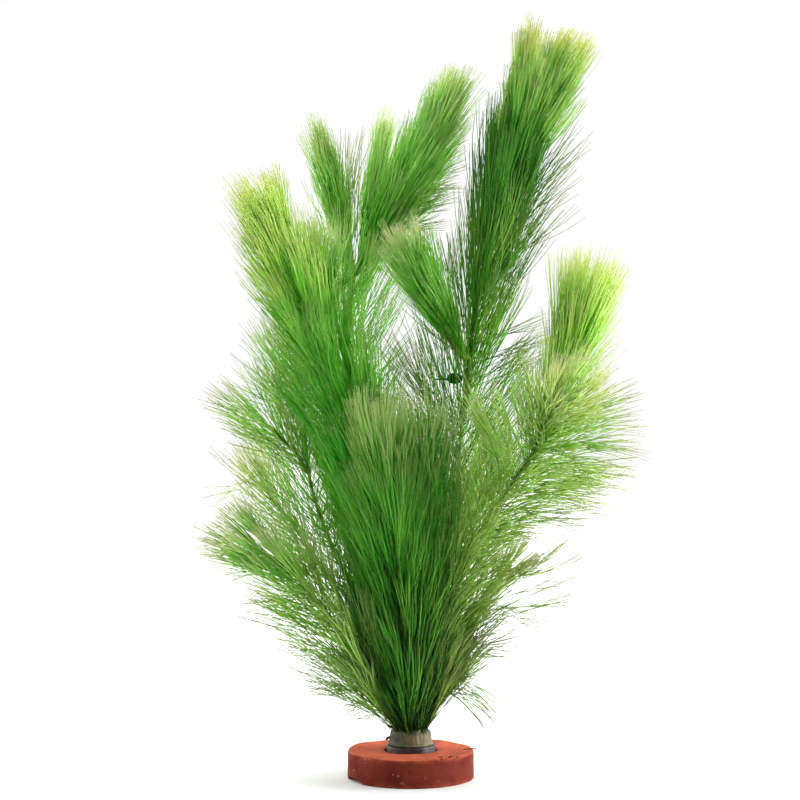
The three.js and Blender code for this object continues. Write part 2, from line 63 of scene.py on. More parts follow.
# Each shoot: the points of its stem in millimetres from the cut end up, and from the lowest whorl to the
# top one the leaves' lean away from the stem in degrees and their length. Pitch is the mean step between
# whorls, bow how far a leaf arches, splay how wide its forks stand, lie how far below its whorl it leaves
# the stem and droop how far it sags, all four as shares of its length. Crowd over 1 brings the whorls
# together towards the top, and comb brings the leaves of a lock together.
SHOOTS = {
    "tall_shoot": dict(
        look="dark", seat=("middle", 0),
        route=[(5, 3, 34), (9, 5, 63), (14, 6, 88), (17, 7, 109), (18, 8, 123), (20, 8, 139), (21, 8, 150),
               (24, 8, 170), (26, 8, 180), (30, 8, 193), (33, 8, 207)],
        lean=(32, 36, 38, 33, 22, 13), leaf=(20, 32, 40, 39, 37, 34), pitch=3.0, bow=0.10, splay=0.13,
        lie=(0.30, 0.15, 0.12, 0.12, 0.25, 0.40), crowd=2.2, comb=0.45,
    ),
    "tall_shoot_left_tip": dict(
        look="bright",
        route=[(32.6, 7.6, 206.4), (33, 6, 208), (35, 4, 218), (37.2, 2, 228), (39.4, 1, 243)],
        lean=(9, 6, 3), leaf=(31, 29, 25), pitch=1.2, bow=0.05, splay=0.07, comb=0.45,
    ),
    "tall_shoot_right_tip": dict(
        look="bright",
        route=[(32.8, 8.2, 206.6), (34, 10, 209), (37.2, 12, 219), (41.5, 14, 230), (45.2, 15, 239),
               (48.5, 16, 245)],
        lean=(21, 16, 12), leaf=(35, 32, 27), pitch=1.2, bow=0.05, splay=0.08, comb=0.45,
    ),
    "tall_shoot_side_branch": dict(
        look="faded",
        route=[(20.8, 7.6, 149.0), (18, 4, 150), (12, -1, 159), (7, -5, 169), (3, -7, 179), (0, -8, 186)],
        lean=(14, 16, 22), leaf=(27, 26, 15), pitch=1.8, bow=0.05, splay=0.08, comb=0.2,
    ),
    "upper_left_shoot": dict(
        look="green", seat=("middle", 1),
        route=[(-3, 6, 34), (-7, 12, 62), (-13, 18, 87), (-18, 22, 108), (-21, 25, 130), (-23.5, 27, 151),
               (-22, 28, 166), (-20, 28, 179)],
        lean=(32, 34, 36, 36, 24), leaf=(20, 28, 34, 35, 36), pitch=4.4, bow=0.10, splay=0.14,
        lie=(0.30, 0.15, 0.10, 0.08, 0.10), crowd=1.3,
    ),
    "upper_left_left_tip": dict(
        look="spring",
        route=[(-20.2, 27.8, 178.6), (-21, 26, 182), (-24, 25, 193), (-27, 24, 204), (-29, 23, 212)],
        lean=(6, 4, 3), leaf=(28, 27, 24), pitch=1.4, bow=0.05, splay=0.08, comb=0.35,
    ),
    "upper_left_middle_tip": dict(
        look="spring",
        route=[(-19.8, 28.2, 178.6), (-18, 31, 183), (-15, 34, 193), (-13, 36, 204), (-12, 37, 211)],
        lean=(7, 5, 3), leaf=(25, 28, 28), pitch=2.2, bow=0.05, splay=0.08, comb=0.35,
    ),
    "upper_left_right_tip": dict(
        look="spring",
        route=[(-19.8, 27.8, 178.8), (-17, 26, 182), (-14, 26, 188), (-8, 25, 197), (-3, 24, 207),
               (3, 23, 218), (8, 23, 228), (11, 22, 235)],
        lean=(19, 18, 15, 9), leaf=(30, 30, 26, 20), pitch=1.3, bow=0.05, splay=0.08, comb=0.2,
    ),
    "lime_shoot": dict(
        look="lime", seat=("middle", 2),
        route=[(-5, -5, 36), (-11, -12, 72), (-14, -15, 100), (-19, -17, 125), (-24, -18, 136),
               (-28, -20, 146), (-34, -22, 162), (-39, -23, 174), (-43, -24, 184), (-46, -25, 190),
               (-48, -25, 195)],
        lean=(30, 28, 27, 28, 25, 16), leaf=(20, 28, 32, 34, 31, 23), pitch=1.8, bow=0.07, splay=0.09,
        comb=0.25,
    ),
    "lime_side_tuft": dict(
        look="green",
        route=[(-33.2, -21.6, 160), (-32, -20, 161), (-30, -18, 168), (-30, -17, 176)], slot="olive_leaf",
        lean=(18, 14), leaf=(27, 25), pitch=2.0, bow=0.04, splay=0.12,
    ),
    "mid_left_shoot": dict(
        look="green", seat=("edge", 3),
        route=[(-9, 5, 38), (-21, 8, 66), (-31, 9, 89), (-36, 10, 105), (-38, 11, 123), (-39, 11, 136),
               (-41, 11, 145)],
        lean=(34, 42, 42, 33, 22), leaf=(22, 29, 31, 29, 27), pitch=5.4, bow=0.12, splay=0.20,
        lie=(0.30, 0.08, 0.04, 0.06, 0.15), crowd=1.3, comb=0.35,
    ),
    "mid_left_branch": dict(
        look="meadow",
        route=[(-36.4, 10, 108), (-37.4, 8, 109), (-41, 3, 116), (-46, -1, 121), (-50, -3, 126)],
        lean=(32, 32, 28), leaf=(23, 27, 27), pitch=3.0, bow=0.10, splay=0.18, lie=(0.04, 0.10),
    ),
    "low_left_shoot": dict(
        look="meadow", seat=("edge", 5),
        route=[(-12, -8, 34), (-25, -16, 54), (-35, -22, 69), (-44, -26, 79), (-51, -28, 84)],
        lean=(26, 28, 27, 18), leaf=(35, 36, 33, 24), pitch=3.2, bow=0.04, splay=0.15,
        lie=(0.20, 0.10, 0.10, 0.30), crowd=1.6,
    ),
    "olive_left_shoot": dict(
        look="olive", seat=("edge", 4),
        route=[(-11, 2, 36), (-24, 14, 60), (-35, 22, 77), (-44, 27, 89), (-51, 30, 98), (-54, 32, 104)],
        lean=(36, 38, 30, 18), leaf=(26, 28, 25, 20), pitch=5.2, bow=0.10, splay=0.20,
        lie=(0.25, 0.06, 0.05, 0.10), crowd=1.3, comb=0.40,
    ),
    "right_shoot": dict(
        look="fresh", seat=("edge", 8),
        route=[(8, -4, 36), (12, -10, 60), (18, -15, 78), (28, -19, 96), (36, -21, 108), (42, -22, 117),
               (47, -22, 125), (51, -21, 134), (54, -20, 143), (57, -19, 152), (59, -18, 161)],
        lean=(30, 28, 30, 33, 38, 46, 57, 78, 31, 17, 15),
        leaf=(24, 26, 26, 25, 25, 24, 30, 35, 23, 32, 28), pitch=1.9, bow=0.03, splay=0.13,
        lie=(0.25, 0.12, 0.10, 0.10, 0.35, 0.40), crowd=1.55, comb=0.35, droop=0.12,
    ),
    "right_front_branch": dict(
        look="olive",
        route=[(42.4, -22, 117.6), (43, -24.2, 118.6), (45, -33, 127), (48, -42, 133), (51, -50, 138)],
        lean=(34, 32, 28), leaf=(22, 24, 22), pitch=2.0, bow=0.05, splay=0.15, comb=0.2,
    ),
    "centre_front_shoot": dict(
        look="deep", seat=("edge", 6),
        route=[(-2, -12, 42), (-4, -23, 73), (-7, -31, 98), (-8.5, -35, 112), (-9.5, -37, 120)],
        lean=(30, 28, 24, 18), leaf=(24, 28, 29, 24), pitch=2.3, bow=0.07, splay=0.11, comb=0.18,
    ),
    "centre_short_shoot": dict(
        look="deep", seat=("edge", 7),
        route=[(4, -7, 43), (7, -14, 75), (6, -19, 99), (5, -22, 116)],
        lean=(30, 28, 24, 17), leaf=(22, 28, 28, 27), pitch=2.5, bow=0.07, splay=0.11, comb=0.18,
    ),
    "low_right_shoot": dict(
        look="olive", seat=("edge", 0),
        route=[(9, 1, 32), (16, 0, 48), (24, -1, 61), (31, 0, 71), (36, 1, 76)],
        lean=(18, 21, 22, 20), leaf=(26, 28, 22, 14), pitch=5.2, bow=0.02, splay=0.15,
        lie=(0.25, 0.12, 0.08, 0.10), slot="green_leaf",
    ),
    "back_left_shoot": dict(
        look="green", seat=("edge", 2),
        route=[(-5, 16, 43), (-13, 30, 71), (-20, 40, 94), (-24, 46, 109)],
        lean=(36, 40, 34, 20), leaf=(24, 30, 31, 27), pitch=4.4, bow=0.07, splay=0.15,
        lie=(0.30, 0.12, 0.12, 0.25),
    ),
    "back_right_shoot": dict(
        look="green", seat=("edge", 1),
        route=[(6, 14, 44), (13, 28, 71), (20, 38, 90), (24, 44, 102)],
        lean=(36, 40, 34, 20), leaf=(24, 30, 31, 27), pitch=4.4, bow=0.07, splay=0.15,
        lie=(0.30, 0.12, 0.12, 0.25),
    ),
}

# Long leaves that reach out past the crowns, for each shoot: how far up its stem they leave it, the X, Y
# and Z of their tips in millimetres, and how far they sag below a straight line, as a share of length.
STRAYS = {
    "low_right_shoot": [
        (0.77, 61, -3, 66, 0.0), (0.74, 60, -5, 62, -0.10), (0.79, 57, 0, 72, 0.0),
        (0.76, 46, -4, 52, 0.30), (0.92, 54, 2, 85, -0.12), (0.91, 63, -2, 84, -0.12),
        (0.93, 58, 1, 84, -0.12), (0.90, 46, 0, 76, 0.10), (0.57, 39, -4, 53, -0.10),
        (0.54, 38, -6, 49, -0.10), (0.59, 34, -2, 55, 0.0), (0.52, 33, -8, 47, 0.0),
        (0.40, 23, -6, 37, 0.0), (0.38, 22, -8, 34, 0.0), (0.39, 28, -8, 20, 0.30),
        (0.40, 33, -4, 20, 0.28), (0.38, 27, -12, 23, 0.30), (0.41, 33, 0, 22, 0.25),
    ],
    "right_shoot": [
        (0.62, 68, -22, 100, 0.0), (0.61, 65, -18, 97, -0.08), (0.59, 64, -20, 94, -0.10),
        (0.57, 55, -14, 95, -0.05), (0.53, 47, -18, 89, 0.10), (0.65, 73, -20, 105, 0.0),
        (0.68, 77, -16, 111, 0.05), (0.71, 70, -22, 117, 0.10), (0.73, 80, -18, 122, 0.10),
        (0.77, 75, -22, 134, 0.05), (0.80, 79, -20, 141, 0.0), (0.79, 80, -20, 136, 0.05),
        (0.77, 79, -18, 129, 0.08), (0.75, 81, -20, 125, 0.08), (0.72, 77, -22, 118, 0.10),
        (0.71, 79, -18, 114, 0.12), (0.68, 76, -20, 108, 0.12), (0.69, 72, -22, 111, 0.08),
        (0.74, 74, -18, 121, 0.05), (0.75, 69, -24, 126, 0.08), (0.70, 67, -20, 114, 0.08),
        (0.66, 65, -18, 107, 0.10), (0.63, 62, -22, 102, 0.10), (0.67, 64, -24, 111, 0.05),
    ],
    "low_left_shoot": [
        (0.57, -58, -20, 61, 0.0), (0.62, -60, -18, 66, 0.0), (0.46, -48, -16, 50, 0.0),
        (0.42, -38, -14, 48, -0.30), (0.38, -41, -15, 40, -0.15), (0.35, -36, -13, 33, 0.05),
        (0.35, -33, -16, 35, -0.10), (0.30, -27, -12, 28, -0.20), (0.27, -21, -12, 24, -0.20),
        (1.00, -76, -28, 91, -0.05), (0.98, -73, -26, 85, 0.0), (0.88, -67, -24, 76, 0.0),
        (0.77, -62, -24, 68, 0.0),
    ],
    "olive_left_shoot": [
        (1.00, -76, 30, 95, 0.0), (0.75, -66, 24, 110, 0.0), (0.80, -68, 28, 117, 0.0),
    ],
    "upper_left_right_tip": [
        (0.32, 11, 20, 200, 0.0), (0.34, 13, 16, 198, 0.0), (0.37, 9, 24, 204, 0.0),
        (0.38, 15, 18, 203, 0.0), (0.43, 13, 22, 207, 0.0), (0.44, 17, 16, 206, 0.0),
        (0.49, 16, 20, 211, 0.0), (0.51, 19, 24, 211, 0.0), (0.54, 18, 18, 215, 0.0),
        (0.61, 20, 20, 220, 0.0), (0.67, 19, 24, 225, 0.0), (0.43, 11, 14, 210, 0.0),
        (0.29, 7, 14, 198, 0.0), (0.76, 19, 20, 230, 0.0), (0.30, -4, 30, 226, 0.0),
        (0.38, -1, 31, 233, 0.0), (0.22, -6, 32, 220, 0.0), (0.45, 2, 30, 237, 0.0),
    ],
    "upper_left_shoot": [
        (0.97, -26, 28, 223, 0.0), (0.99, -23, 30, 230, 0.0), (0.95, -20, 29, 221, 0.0),
        (0.99, -18, 31, 232, 0.0), (0.98, -21, 27, 227, 0.0), (0.96, -15.5, 30, 224, 0.0),
        (0.94, -24, 26, 214, 0.0), (0.95, -17, 27, 214, 0.0),
    ],
    "tall_shoot_left_tip": [
        (0.40, 44, 3, 255, 0.0), (0.60, 45, 4, 262, 0.0),
    ],
    "tall_shoot_right_tip": [
        (0.40, 46.5, 9, 262, 0.0),
    ],
    "mid_left_branch": [
        (0.98, -72, -6, 137, 0.05), (0.92, -70, -2, 134, 0.05), (0.92, -69, -4, 140, 0.0),
    ],
    "mid_left_shoot": [
        (0.90, -63, 14, 142, 0.0), (0.88, -61, 10, 138, 0.0), (0.91, -57, 12, 144, 0.0),
    ],
    "tall_shoot": [
        (0.61, -9, 0, 159, 0.0), (0.59, -5, -4, 155, 0.0), (0.57, -2, 2, 151, 0.0),
        (0.56, -10, -2, 154, 0.0), (0.55, 0, 0, 147, 0.0), (0.54, -6, 4, 148, 0.0),
        (0.73, 49, 10, 163, 0.0), (0.70, 52, 6, 159, 0.0), (0.69, 45, 8, 159, 0.0),
        (0.67, 42, 4, 155, 0.0), (0.67, 51, 10, 154, 0.0), (0.97, 59, 8, 234, 0.0),
        (0.96, 61, 4, 229, 0.0), (0.95, 58, 10, 224, 0.0), (0.92, 58, 6, 217, 0.0),
        (0.89, 55, 8, 212, 0.0), (0.85, 57, 4, 206, 0.0), (0.82, 52, 10, 204, 0.0),
        (0.76, 49, 8, 195, 0.0),
    ],
}

# The dark bud with its thin tail, and the reddish nodes that show from the front: centre, half sizes, and
# the colouring that they take.
LUMPS = [
    ("tall_shoot", (15.6, 1.5, 142.2), (2.9, 1.9, 2.0), "dark_bud"),
    ("tall_shoot", (11.2, 1.4, 141.9), (3.2, 0.35, 0.35), "dark_bud"),
    ("right_shoot", (50.2, -23.5, 125.6), (0.9, 0.7, 0.9), "node_mark"),
    ("upper_left_right_tip", (-8.2, 22.0, 197.5), (0.8, 0.7, 0.8), "node_mark"),
    ("mid_left_shoot", (-24.0, 2.0, 132.0), (0.8, 0.7, 0.8), "node_mark"),
]

# Stems: their sides, radii at foot and tip, the step between their points, and what their last point keeps.
# Then how much a node swells, how far it reaches, and over what length a stem's slope is taken.
STEM_SIDES, STEM_RADII, STEM_STEP, STEM_END_SHARE = 8, (0.95, 0.45), 2.5, 0.3
NODE_SWELL, NODE_REACH, SLOPE_REACH = 1.3, 0.7, 1.5
# Leaves, with the points along a stalk and an end, and where the whorls of a stem begin and end.
LEAF_SIDES, STALK_POINTS, END_POINTS = 3, 3, 4
END_INSET, BARE_FOOT_SHARE, CROWDING = 3.0, 0.10, 1.25
# Short whorls that crowd the foot of a wrapped stem: their count, span up the stem, lean and length.
FOOT_WHORLS, FOOT_SPAN, FOOT_LEAN, FOOT_LEAF = 7, (0.4, 16.0), (6.0, 24.0), (16.0, 30.0)
# How far below its whorl a leaf leaves the stem, as a share of its length, and how deep its root sits.
LIE, ROOT_DEPTH = (0.38, 0.38), 0.6
FOOT_GAP, FOOT_SCATTER = 0.5, 4.0
# How many leaves share a lock, and how far they are combed together.
LOCK_SIZE, COMB, COMB_RANGE = 7, 0.55, (0.6, 1.2)
# How leaves differ: spreads of their share up the shoot, bearing in radians, lean in degrees and length,
# and then the share of them that is longer, and by how much.
SHARE_SPREAD, TURN_SPREAD, LEAN_SPREAD, LENGTH_SPREAD = 0.004, 0.16, 4.5, 0.09
LONG_LEAVES, LONG_EXTRA = 0.12, 0.2
# Where a leaf forks as shares of it, the second fork counted from the first, how unevenly the forks turn
# and open, and how much they ease as they go.
FIRST_FORK, SECOND_FORK, FORK_TURN_SPREAD = (0.22, 0.40), (0.16, 0.28), 0.5
FIRST_SPLAY, SECOND_SPLAY, FIRST_EASE, SECOND_EASE = (0.6, 1.3), (0.5, 1.2), 0.45, 0.35
# Spreads of bow and wave, for the lock and for the leaf itself, and how many waves a leaf has.
BOW_SPREAD, WAVE_SPREAD, WAVES = (0.045, 0.012), (0.026, 0.008), (0.6, 1.3)
# A leaf's thickness against the usual one, how much it narrows, and what its last point keeps.
THICKNESS_RANGE, LEAF_TAPER, END_TAPER = (0.85, 1.15), 0.5, 0.65
# How much of a leaf's tone is its own and its lock's, and the least tone of a stray.
OWN_TONE, LOCK_TONE, STRAY_TONE = 0.7, 0.3, 0.75
# Strays: the leaves for each place in their table, the spread of their tips, and how much wider they fork.
STRAY_LEAVES, STRAY_SPREAD, STRAY_SPLAY = 2, 1.3, 1.4
# The strands of a leaf: a trunk and two branches, then four ends, with the side each takes at either fork.
STALKS = [("trunk", 0, 0), ("branch", -1, 0), ("branch", 1, 0)]
ENDS = [("end", -1, -1), ("end", -1, 1), ("end", 1, -1), ("end", 1, 1)]
# Each surface's places on the bake map: leaves in the left part, stems in the right, the bud above them.
LEAF_MAP_WIDTH, LEAF_MAP_STRIP, STEM_MAP_START, STEM_MAP_TOP, CAP_MAP_SIZE = 0.80, 0.006, 0.83, 0.95, 0.002
MAP_EDGE = 2 * CAP_MAP_SIZE


def linear(hexadecimal):
    """Linear colour of a hexadecimal display colour, by the display's power curve."""
    parts = [int(hexadecimal[i : i + 2], 16) / 255 for i in (0, 2, 4)]
    return tuple(((c + 0.055) / 1.055) ** 2.4 if c > 0.04045 else c / 12.92 for c in parts)


def length_setting(label, about, default, most=0.2):
    return FloatProperty(name=label, description=about, default=default, min=0.0, max=most,
                         subtype="DISTANCE", unit="LENGTH")


def colour_setting(name, about, hexadecimal):
    return FloatVectorProperty(name=name.replace("_", " ").capitalize(), description=about, size=3,
                               default=linear(hexadecimal), min=0.0, max=1.0, subtype="COLOR")


class HornwortSizes(PropertyGroup):
    """Sizes that a user would change."""

    ring_diameter: length_setting("Ring diameter", "Outer diameter of the clay ring", 0.045)
    ring_height: length_setting("Ring height", "Height of the clay ring", 0.010)
    hole_diameter: length_setting("Hole diameter", "Diameter of the ring's hole", 0.0184)
    wrap_diameter: length_setting("Wrap diameter", "Widest part of the foam above the ring", 0.0154)
    band_diameter: length_setting("Band diameter", "Outer diameter of the band round the foam", 0.0176)
    leaf_thickness: length_setting("Leaf thickness", "Thickness of a leaf at its root", 0.00040)
    leaves_in_whorl: IntProperty(name="Leaves in a whorl", description="Leaves that leave the stem at a node",
                                 default=9, min=3, max=12)
    whorl_density: FloatProperty(name="Whorl density", description="Whorls for each length of stem",
                                 default=1.0, min=0.2, max=2.0, subtype="FACTOR")


# Colours that a user would change, each with what takes it.
COLOURS = {
    "clay": ("Fired clay of the ring", "5c1b14"),
    # The pale clay is dust and wear, and it is also the painted light on the ring's top face.
    "clay_pale": ("Dusty and worn clay", "e2704e"),
    "clay_deep": ("Darker patches and pores of the clay", "481510"),
    "grit_fine": ("Fine pale grit in the clay", "e8b79a"),
    "grit_coarse": ("Larger pale grains on the ring", "cf9a84"),
    "scrap": ("Scrap of dead leaf on the ring", "2c2a18"),
    "foam": ("Clean foam of the wrap", "7f7551"),
    "foam_dark": ("Foam where the stems show through it", "23301c"),
    "foam_green": ("Foam where the stems show faintly", "46512c"),
    "band": ("Band that ties the foam", "30242a"),
    # This teal-grey is partly dust and partly painted sheen on the dark band.
    "band_bloom": ("Dusty bloom on the band", "5d6463"),
    "dark_old": ("Lower leaves of the dark shoots", "30801a"),
    "dark_young": ("Upper leaves of the dark shoots", "28681a"),
    "dark_ends": ("Leaf ends of the dark shoots", "5c8038"),
    "green_old": ("Lower leaves of the green shoots", "3c9a26"),
    "green_young": ("Upper leaves of the green shoots", "66c63c"),
    "green_ends": ("Leaf ends of the green shoots", "a2b46e"),
    "spring_young": ("Leaves of the bright green tips", "86e454"),
    "spring_ends": ("Leaf ends of the bright green tips", "b8c87a"),
    "lime_old": ("Lower leaves of the lime shoots", "34a424"),
    "lime_young": ("Upper leaves of the lime shoots", "8cdc3c"),
    "lime_ends": ("Leaf ends of the lime shoots", "c6cc74"),
    "fresh_old": ("Lower leaves of the right shoot", "7eac42"),
    "fresh_young": ("Upper leaves of the right shoot", "8eee44"),
    "fresh_ends": ("Leaf ends of the right shoot", "aeb078"),
    "golden_young": ("Upper leaves of the tall shoot's tips", "72da3a"),
    "golden_ends": ("Leaf ends of the tall shoot's tips", "bcb666"),
    "olive_old": ("Lower leaves of the olive shoots", "78ac44"),
    "olive_young": ("Upper leaves of the olive shoots", "b0cc74"),
    "olive_ends": ("Leaf ends of the olive shoots", "c0ba90"),
    "dry_end": ("Dry leaf ends, and loose leaves low down", "6a5f48"),
    "loose_end": ("Loose leaves higher up", "87904a"),
    # Painted shade: a near-black green laid over the leaves low down near the middle of the plant.
    "crown_shade": ("Leaves deep inside the foot of the plant", "18220f"),
    "bud": ("Dark bud and its tail", "1b2410"),
    "stem": ("Bare stem", "74a03c"),
    "stem_node": ("Reddish node that a whorl grows from", "7d4a26"),
}


class HornwortColours(PropertyGroup):
    """Colours that a user would change, one for each entry of COLOURS."""

    __annotations__ = {name: colour_setting(name, *about) for name, about in COLOURS.items()}


# Each look: its colours for old leaves, young leaves, the ends of old ones and the ends of young ones, how
# brown its driest leaf ends are, and the material slot that it takes unless its shoot names another.
LOOKS = {
    "dark": ("dark_old", "dark_young", "dark_ends", "dark_young", 0.4, "dark_leaf"),
    "faded": ("green_young", "green_young", "green_ends", "olive_ends", 0.8, "dark_leaf"),
    "meadow": ("olive_old", "green_young", "olive_ends", "olive_ends", 0.8, "green_leaf"),
    "green": ("green_old", "green_young", "green_ends", "green_ends", 0.6, "green_leaf"),
    "deep": ("green_old", "green_old", "dark_ends", "green_ends", 0.6, "green_leaf"),
    "spring": ("green_young", "spring_young", "spring_ends", "spring_ends", 0.35, "green_leaf"),
    "bright": ("green_old", "golden_young", "golden_ends", "golden_ends", 0.6, "lime_leaf"),
    "lime": ("lime_old", "lime_young", "dark_ends", "lime_ends", 0.6, "lime_leaf"),
    "fresh": ("fresh_old", "fresh_young", "fresh_ends", "lime_ends", 0.8, "lime_leaf"),
    "olive": ("olive_old", "olive_young", "olive_ends", "olive_ends", 0.9, "olive_leaf"),
}


def unit(vectors):
    """Vectors divided by their own length, along the last axis."""
    return vectors / np.linalg.norm(vectors, axis=-1, keepdims=True)


def along_list(values, share):
    """Values at shares of the way along a list, straight between its entries."""
    return np.interp(share, np.linspace(0.0, 1.0, len(values)), values)


def ripple(points, size, seed, waves=18):
    """Smooth unevenness between about -1 and 1: a sum of sine waves in random directions.

    Each wave is sin(k . p + phase), with a wavelength between 0.7 and 1.6 times size.
    """
    rng = np.random.default_rng(seed)
    directions = unit(rng.normal(size=(waves, 3)))
    lengths = size * rng.uniform(0.7, 1.6, waves)
    phases = rng.uniform(0.0, math.tau, waves)
    total = np.zeros(points.shape[:-1])
    for direction, length, phase in zip(directions, lengths, phases):
        total += np.sin(points @ direction * (math.tau / length) + phase)
    return total / math.sqrt(waves)


class Stem:
    """A stem's centre line by arc length in millimetres, running straight on past its end.

    The line is a centripetal Catmull-Rom curve: between two points it is the cubic whose end slopes
    come from the points on either side, each step weighed by the square root of its length.
    """

    STEPS = 24
    BEYOND = 80.0

    def __init__(self, shoot):
        points = list(shoot["route"])
        self.wrapped = 0.0
        if "seat" in shoot:
            kind, index = shoot["seat"]
            radius, first, step = SEATS[kind]
            bearing = math.radians(first + step * index)
            foot = (radius * math.cos(bearing), radius * math.sin(bearing))
            points = [(*foot, STEM_FOOT), (*foot, WRAP_TOP)] + points
            self.wrapped = WRAP_TOP - STEM_FOOT
        p = np.array(points, float)
        p = np.vstack([2 * p[0] - p[1], p, 2 * p[-1] - p[-2]])
        before, start, end, after = p[:-3], p[1:-2], p[2:-1], p[3:]
        d0 = np.sqrt(np.linalg.norm(start - before, axis=1))[:, None]
        d1 = np.sqrt(np.linalg.norm(end - start, axis=1))[:, None]
        d2 = np.sqrt(np.linalg.norm(after - end, axis=1))[:, None]
        slope_in = ((start - before) / d0 - (end - before) / (d0 + d1)) * d1 + (end - start)
        slope_out = ((after - end) / d2 - (after - start) / (d1 + d2)) * d1 + (end - start)
        t = np.linspace(0.0, 1.0, self.STEPS, endpoint=False)[None, :, None]
        curve = (
            start[:, None]
            + slope_in[:, None] * t
            + (3 * (end - start) - 2 * slope_in - slope_out)[:, None] * t**2
            + (2 * (start - end) + slope_in + slope_out)[:, None] * t**3
        ).reshape(-1, 3)
        line = np.vstack([curve, p[-2]])
        steps = np.linalg.norm(np.diff(line, axis=0), axis=1)
        self.length = float(steps.sum())
        heading = unit(line[-1] - line[-2])
        self.line = np.vstack([line, line[-1] + heading * self.BEYOND])
        self.places = np.concatenate([[0.0], np.cumsum(steps), [self.length + self.BEYOND]])

    def centre(self, s):
        return np.stack([np.interp(s, self.places, self.line[:, axis]) for axis in range(3)], axis=-1)

    def tangent(self, s):
        return unit(self.centre(s + SLOPE_REACH) - self.centre(np.maximum(s - SLOPE_REACH, 0.0)))

    def radius(self, s):
        return np.interp(s, [0.0, self.length], STEM_RADII)

    def outward(self, s, angle):
        """Unit vectors square to the stem, at angles round it that start at the front."""
        heading = self.tangent(s)
        front = unit(np.array([0.0, -1.0, 0.0]) + heading * heading[..., 1:2])
        side = np.cross(heading, front)
        return front * np.cos(angle)[..., None] + side * np.sin(angle)[..., None]


def tubes(paths, radii, across, upright, sides, fields, u, v_span):
    """Closed tubes round many paths at once, each with the same count of points.

    A tube's point at path point p and corner k is path + radius * (cos(a) * across + sin(a) * upright),
    with a = k of sides turns. fields and the map place u are given for each path point, and v_span is the
    low and high edge of each tube's strip on the map, which its corners cross from first to last.
    Returns the vertices, the faces and their map places as walls then caps, and each vertex's fields.
    """
    count, points = radii.shape
    angle = np.arange(sides) * (math.tau / sides)
    spoke = np.cos(angle)[:, None] * across[..., None, :] + np.sin(angle)[:, None] * upright[..., None, :]
    if spoke.ndim == 3:
        spoke = spoke[:, None]
    vertices = (paths[:, :, None] + radii[:, :, None, None] * spoke).reshape(-1, 3)
    ids = np.arange(count * points * sides).reshape(count, points, sides)
    turned = np.roll(ids, -1, axis=2)
    walls = np.stack([ids[:, :-1], turned[:, :-1], turned[:, 1:], ids[:, 1:]], axis=-1).reshape(-1, 4)
    caps = np.vstack([ids[:, 0, ::-1], ids[:, -1]])
    step = np.arange(sides + 1) / sides
    v = v_span[:, :1] + (v_span[:, 1:] - v_span[:, :1]) * step
    wide_u, wide_v = np.broadcast_arrays(u[:, :, None], v[:, None, :])
    places = np.stack([wide_u, wide_v], axis=-1)
    low, high = places[:, :-1], places[:, 1:]
    wall_places = np.stack([low[:, :, :-1], low[:, :, 1:], high[:, :, 1:], high[:, :, :-1]], axis=3)
    turn = CAP_MAP_SIZE * np.stack([np.cos(angle), np.sin(angle)], axis=-1)
    middle = v_span.mean(axis=1)
    cap_places = [np.stack([u[:, end], middle], axis=-1)[:, None] + turn[::way]
                  for end, way in ((0, -1), (-1, 1))]
    spread = {name: np.repeat(value.reshape(-1), sides) for name, value in fields.items()}
    return vertices, [walls, caps], [wall_places.reshape(-1, 2), np.vstack(cap_places).reshape(-1, 2)], spread


def whorls_of(stem, shoot, sizes):
    """Place on the stem, share of the way up the shoot, lean in degrees and leaf length of every whorl."""
    first = stem.wrapped + END_INSET if stem.wrapped else stem.length * BARE_FOOT_SHARE
    last = stem.length - END_INSET
    count = max(int(round((last - first) / shoot["pitch"] * sizes.whorl_density)), 2)
    share = 1.0 - (1.0 - np.linspace(0.0, 1.0, count)) ** shoot.get("crowd", CROWDING)
    lean, length = along_list(shoot["lean"], share), along_list(shoot["leaf"], share)
    whorls = [first + (last - first) * share, share, lean, length]
    if stem.wrapped:
        at = np.linspace(0.0, 1.0, FOOT_WHORLS)
        feet = (stem.wrapped + along_list(FOOT_SPAN, at), 0 * at, along_list(FOOT_LEAN, at),
                along_list(FOOT_LEAF, at))
        whorls = [np.concatenate(pair) for pair in zip(feet, whorls)]
    return whorls


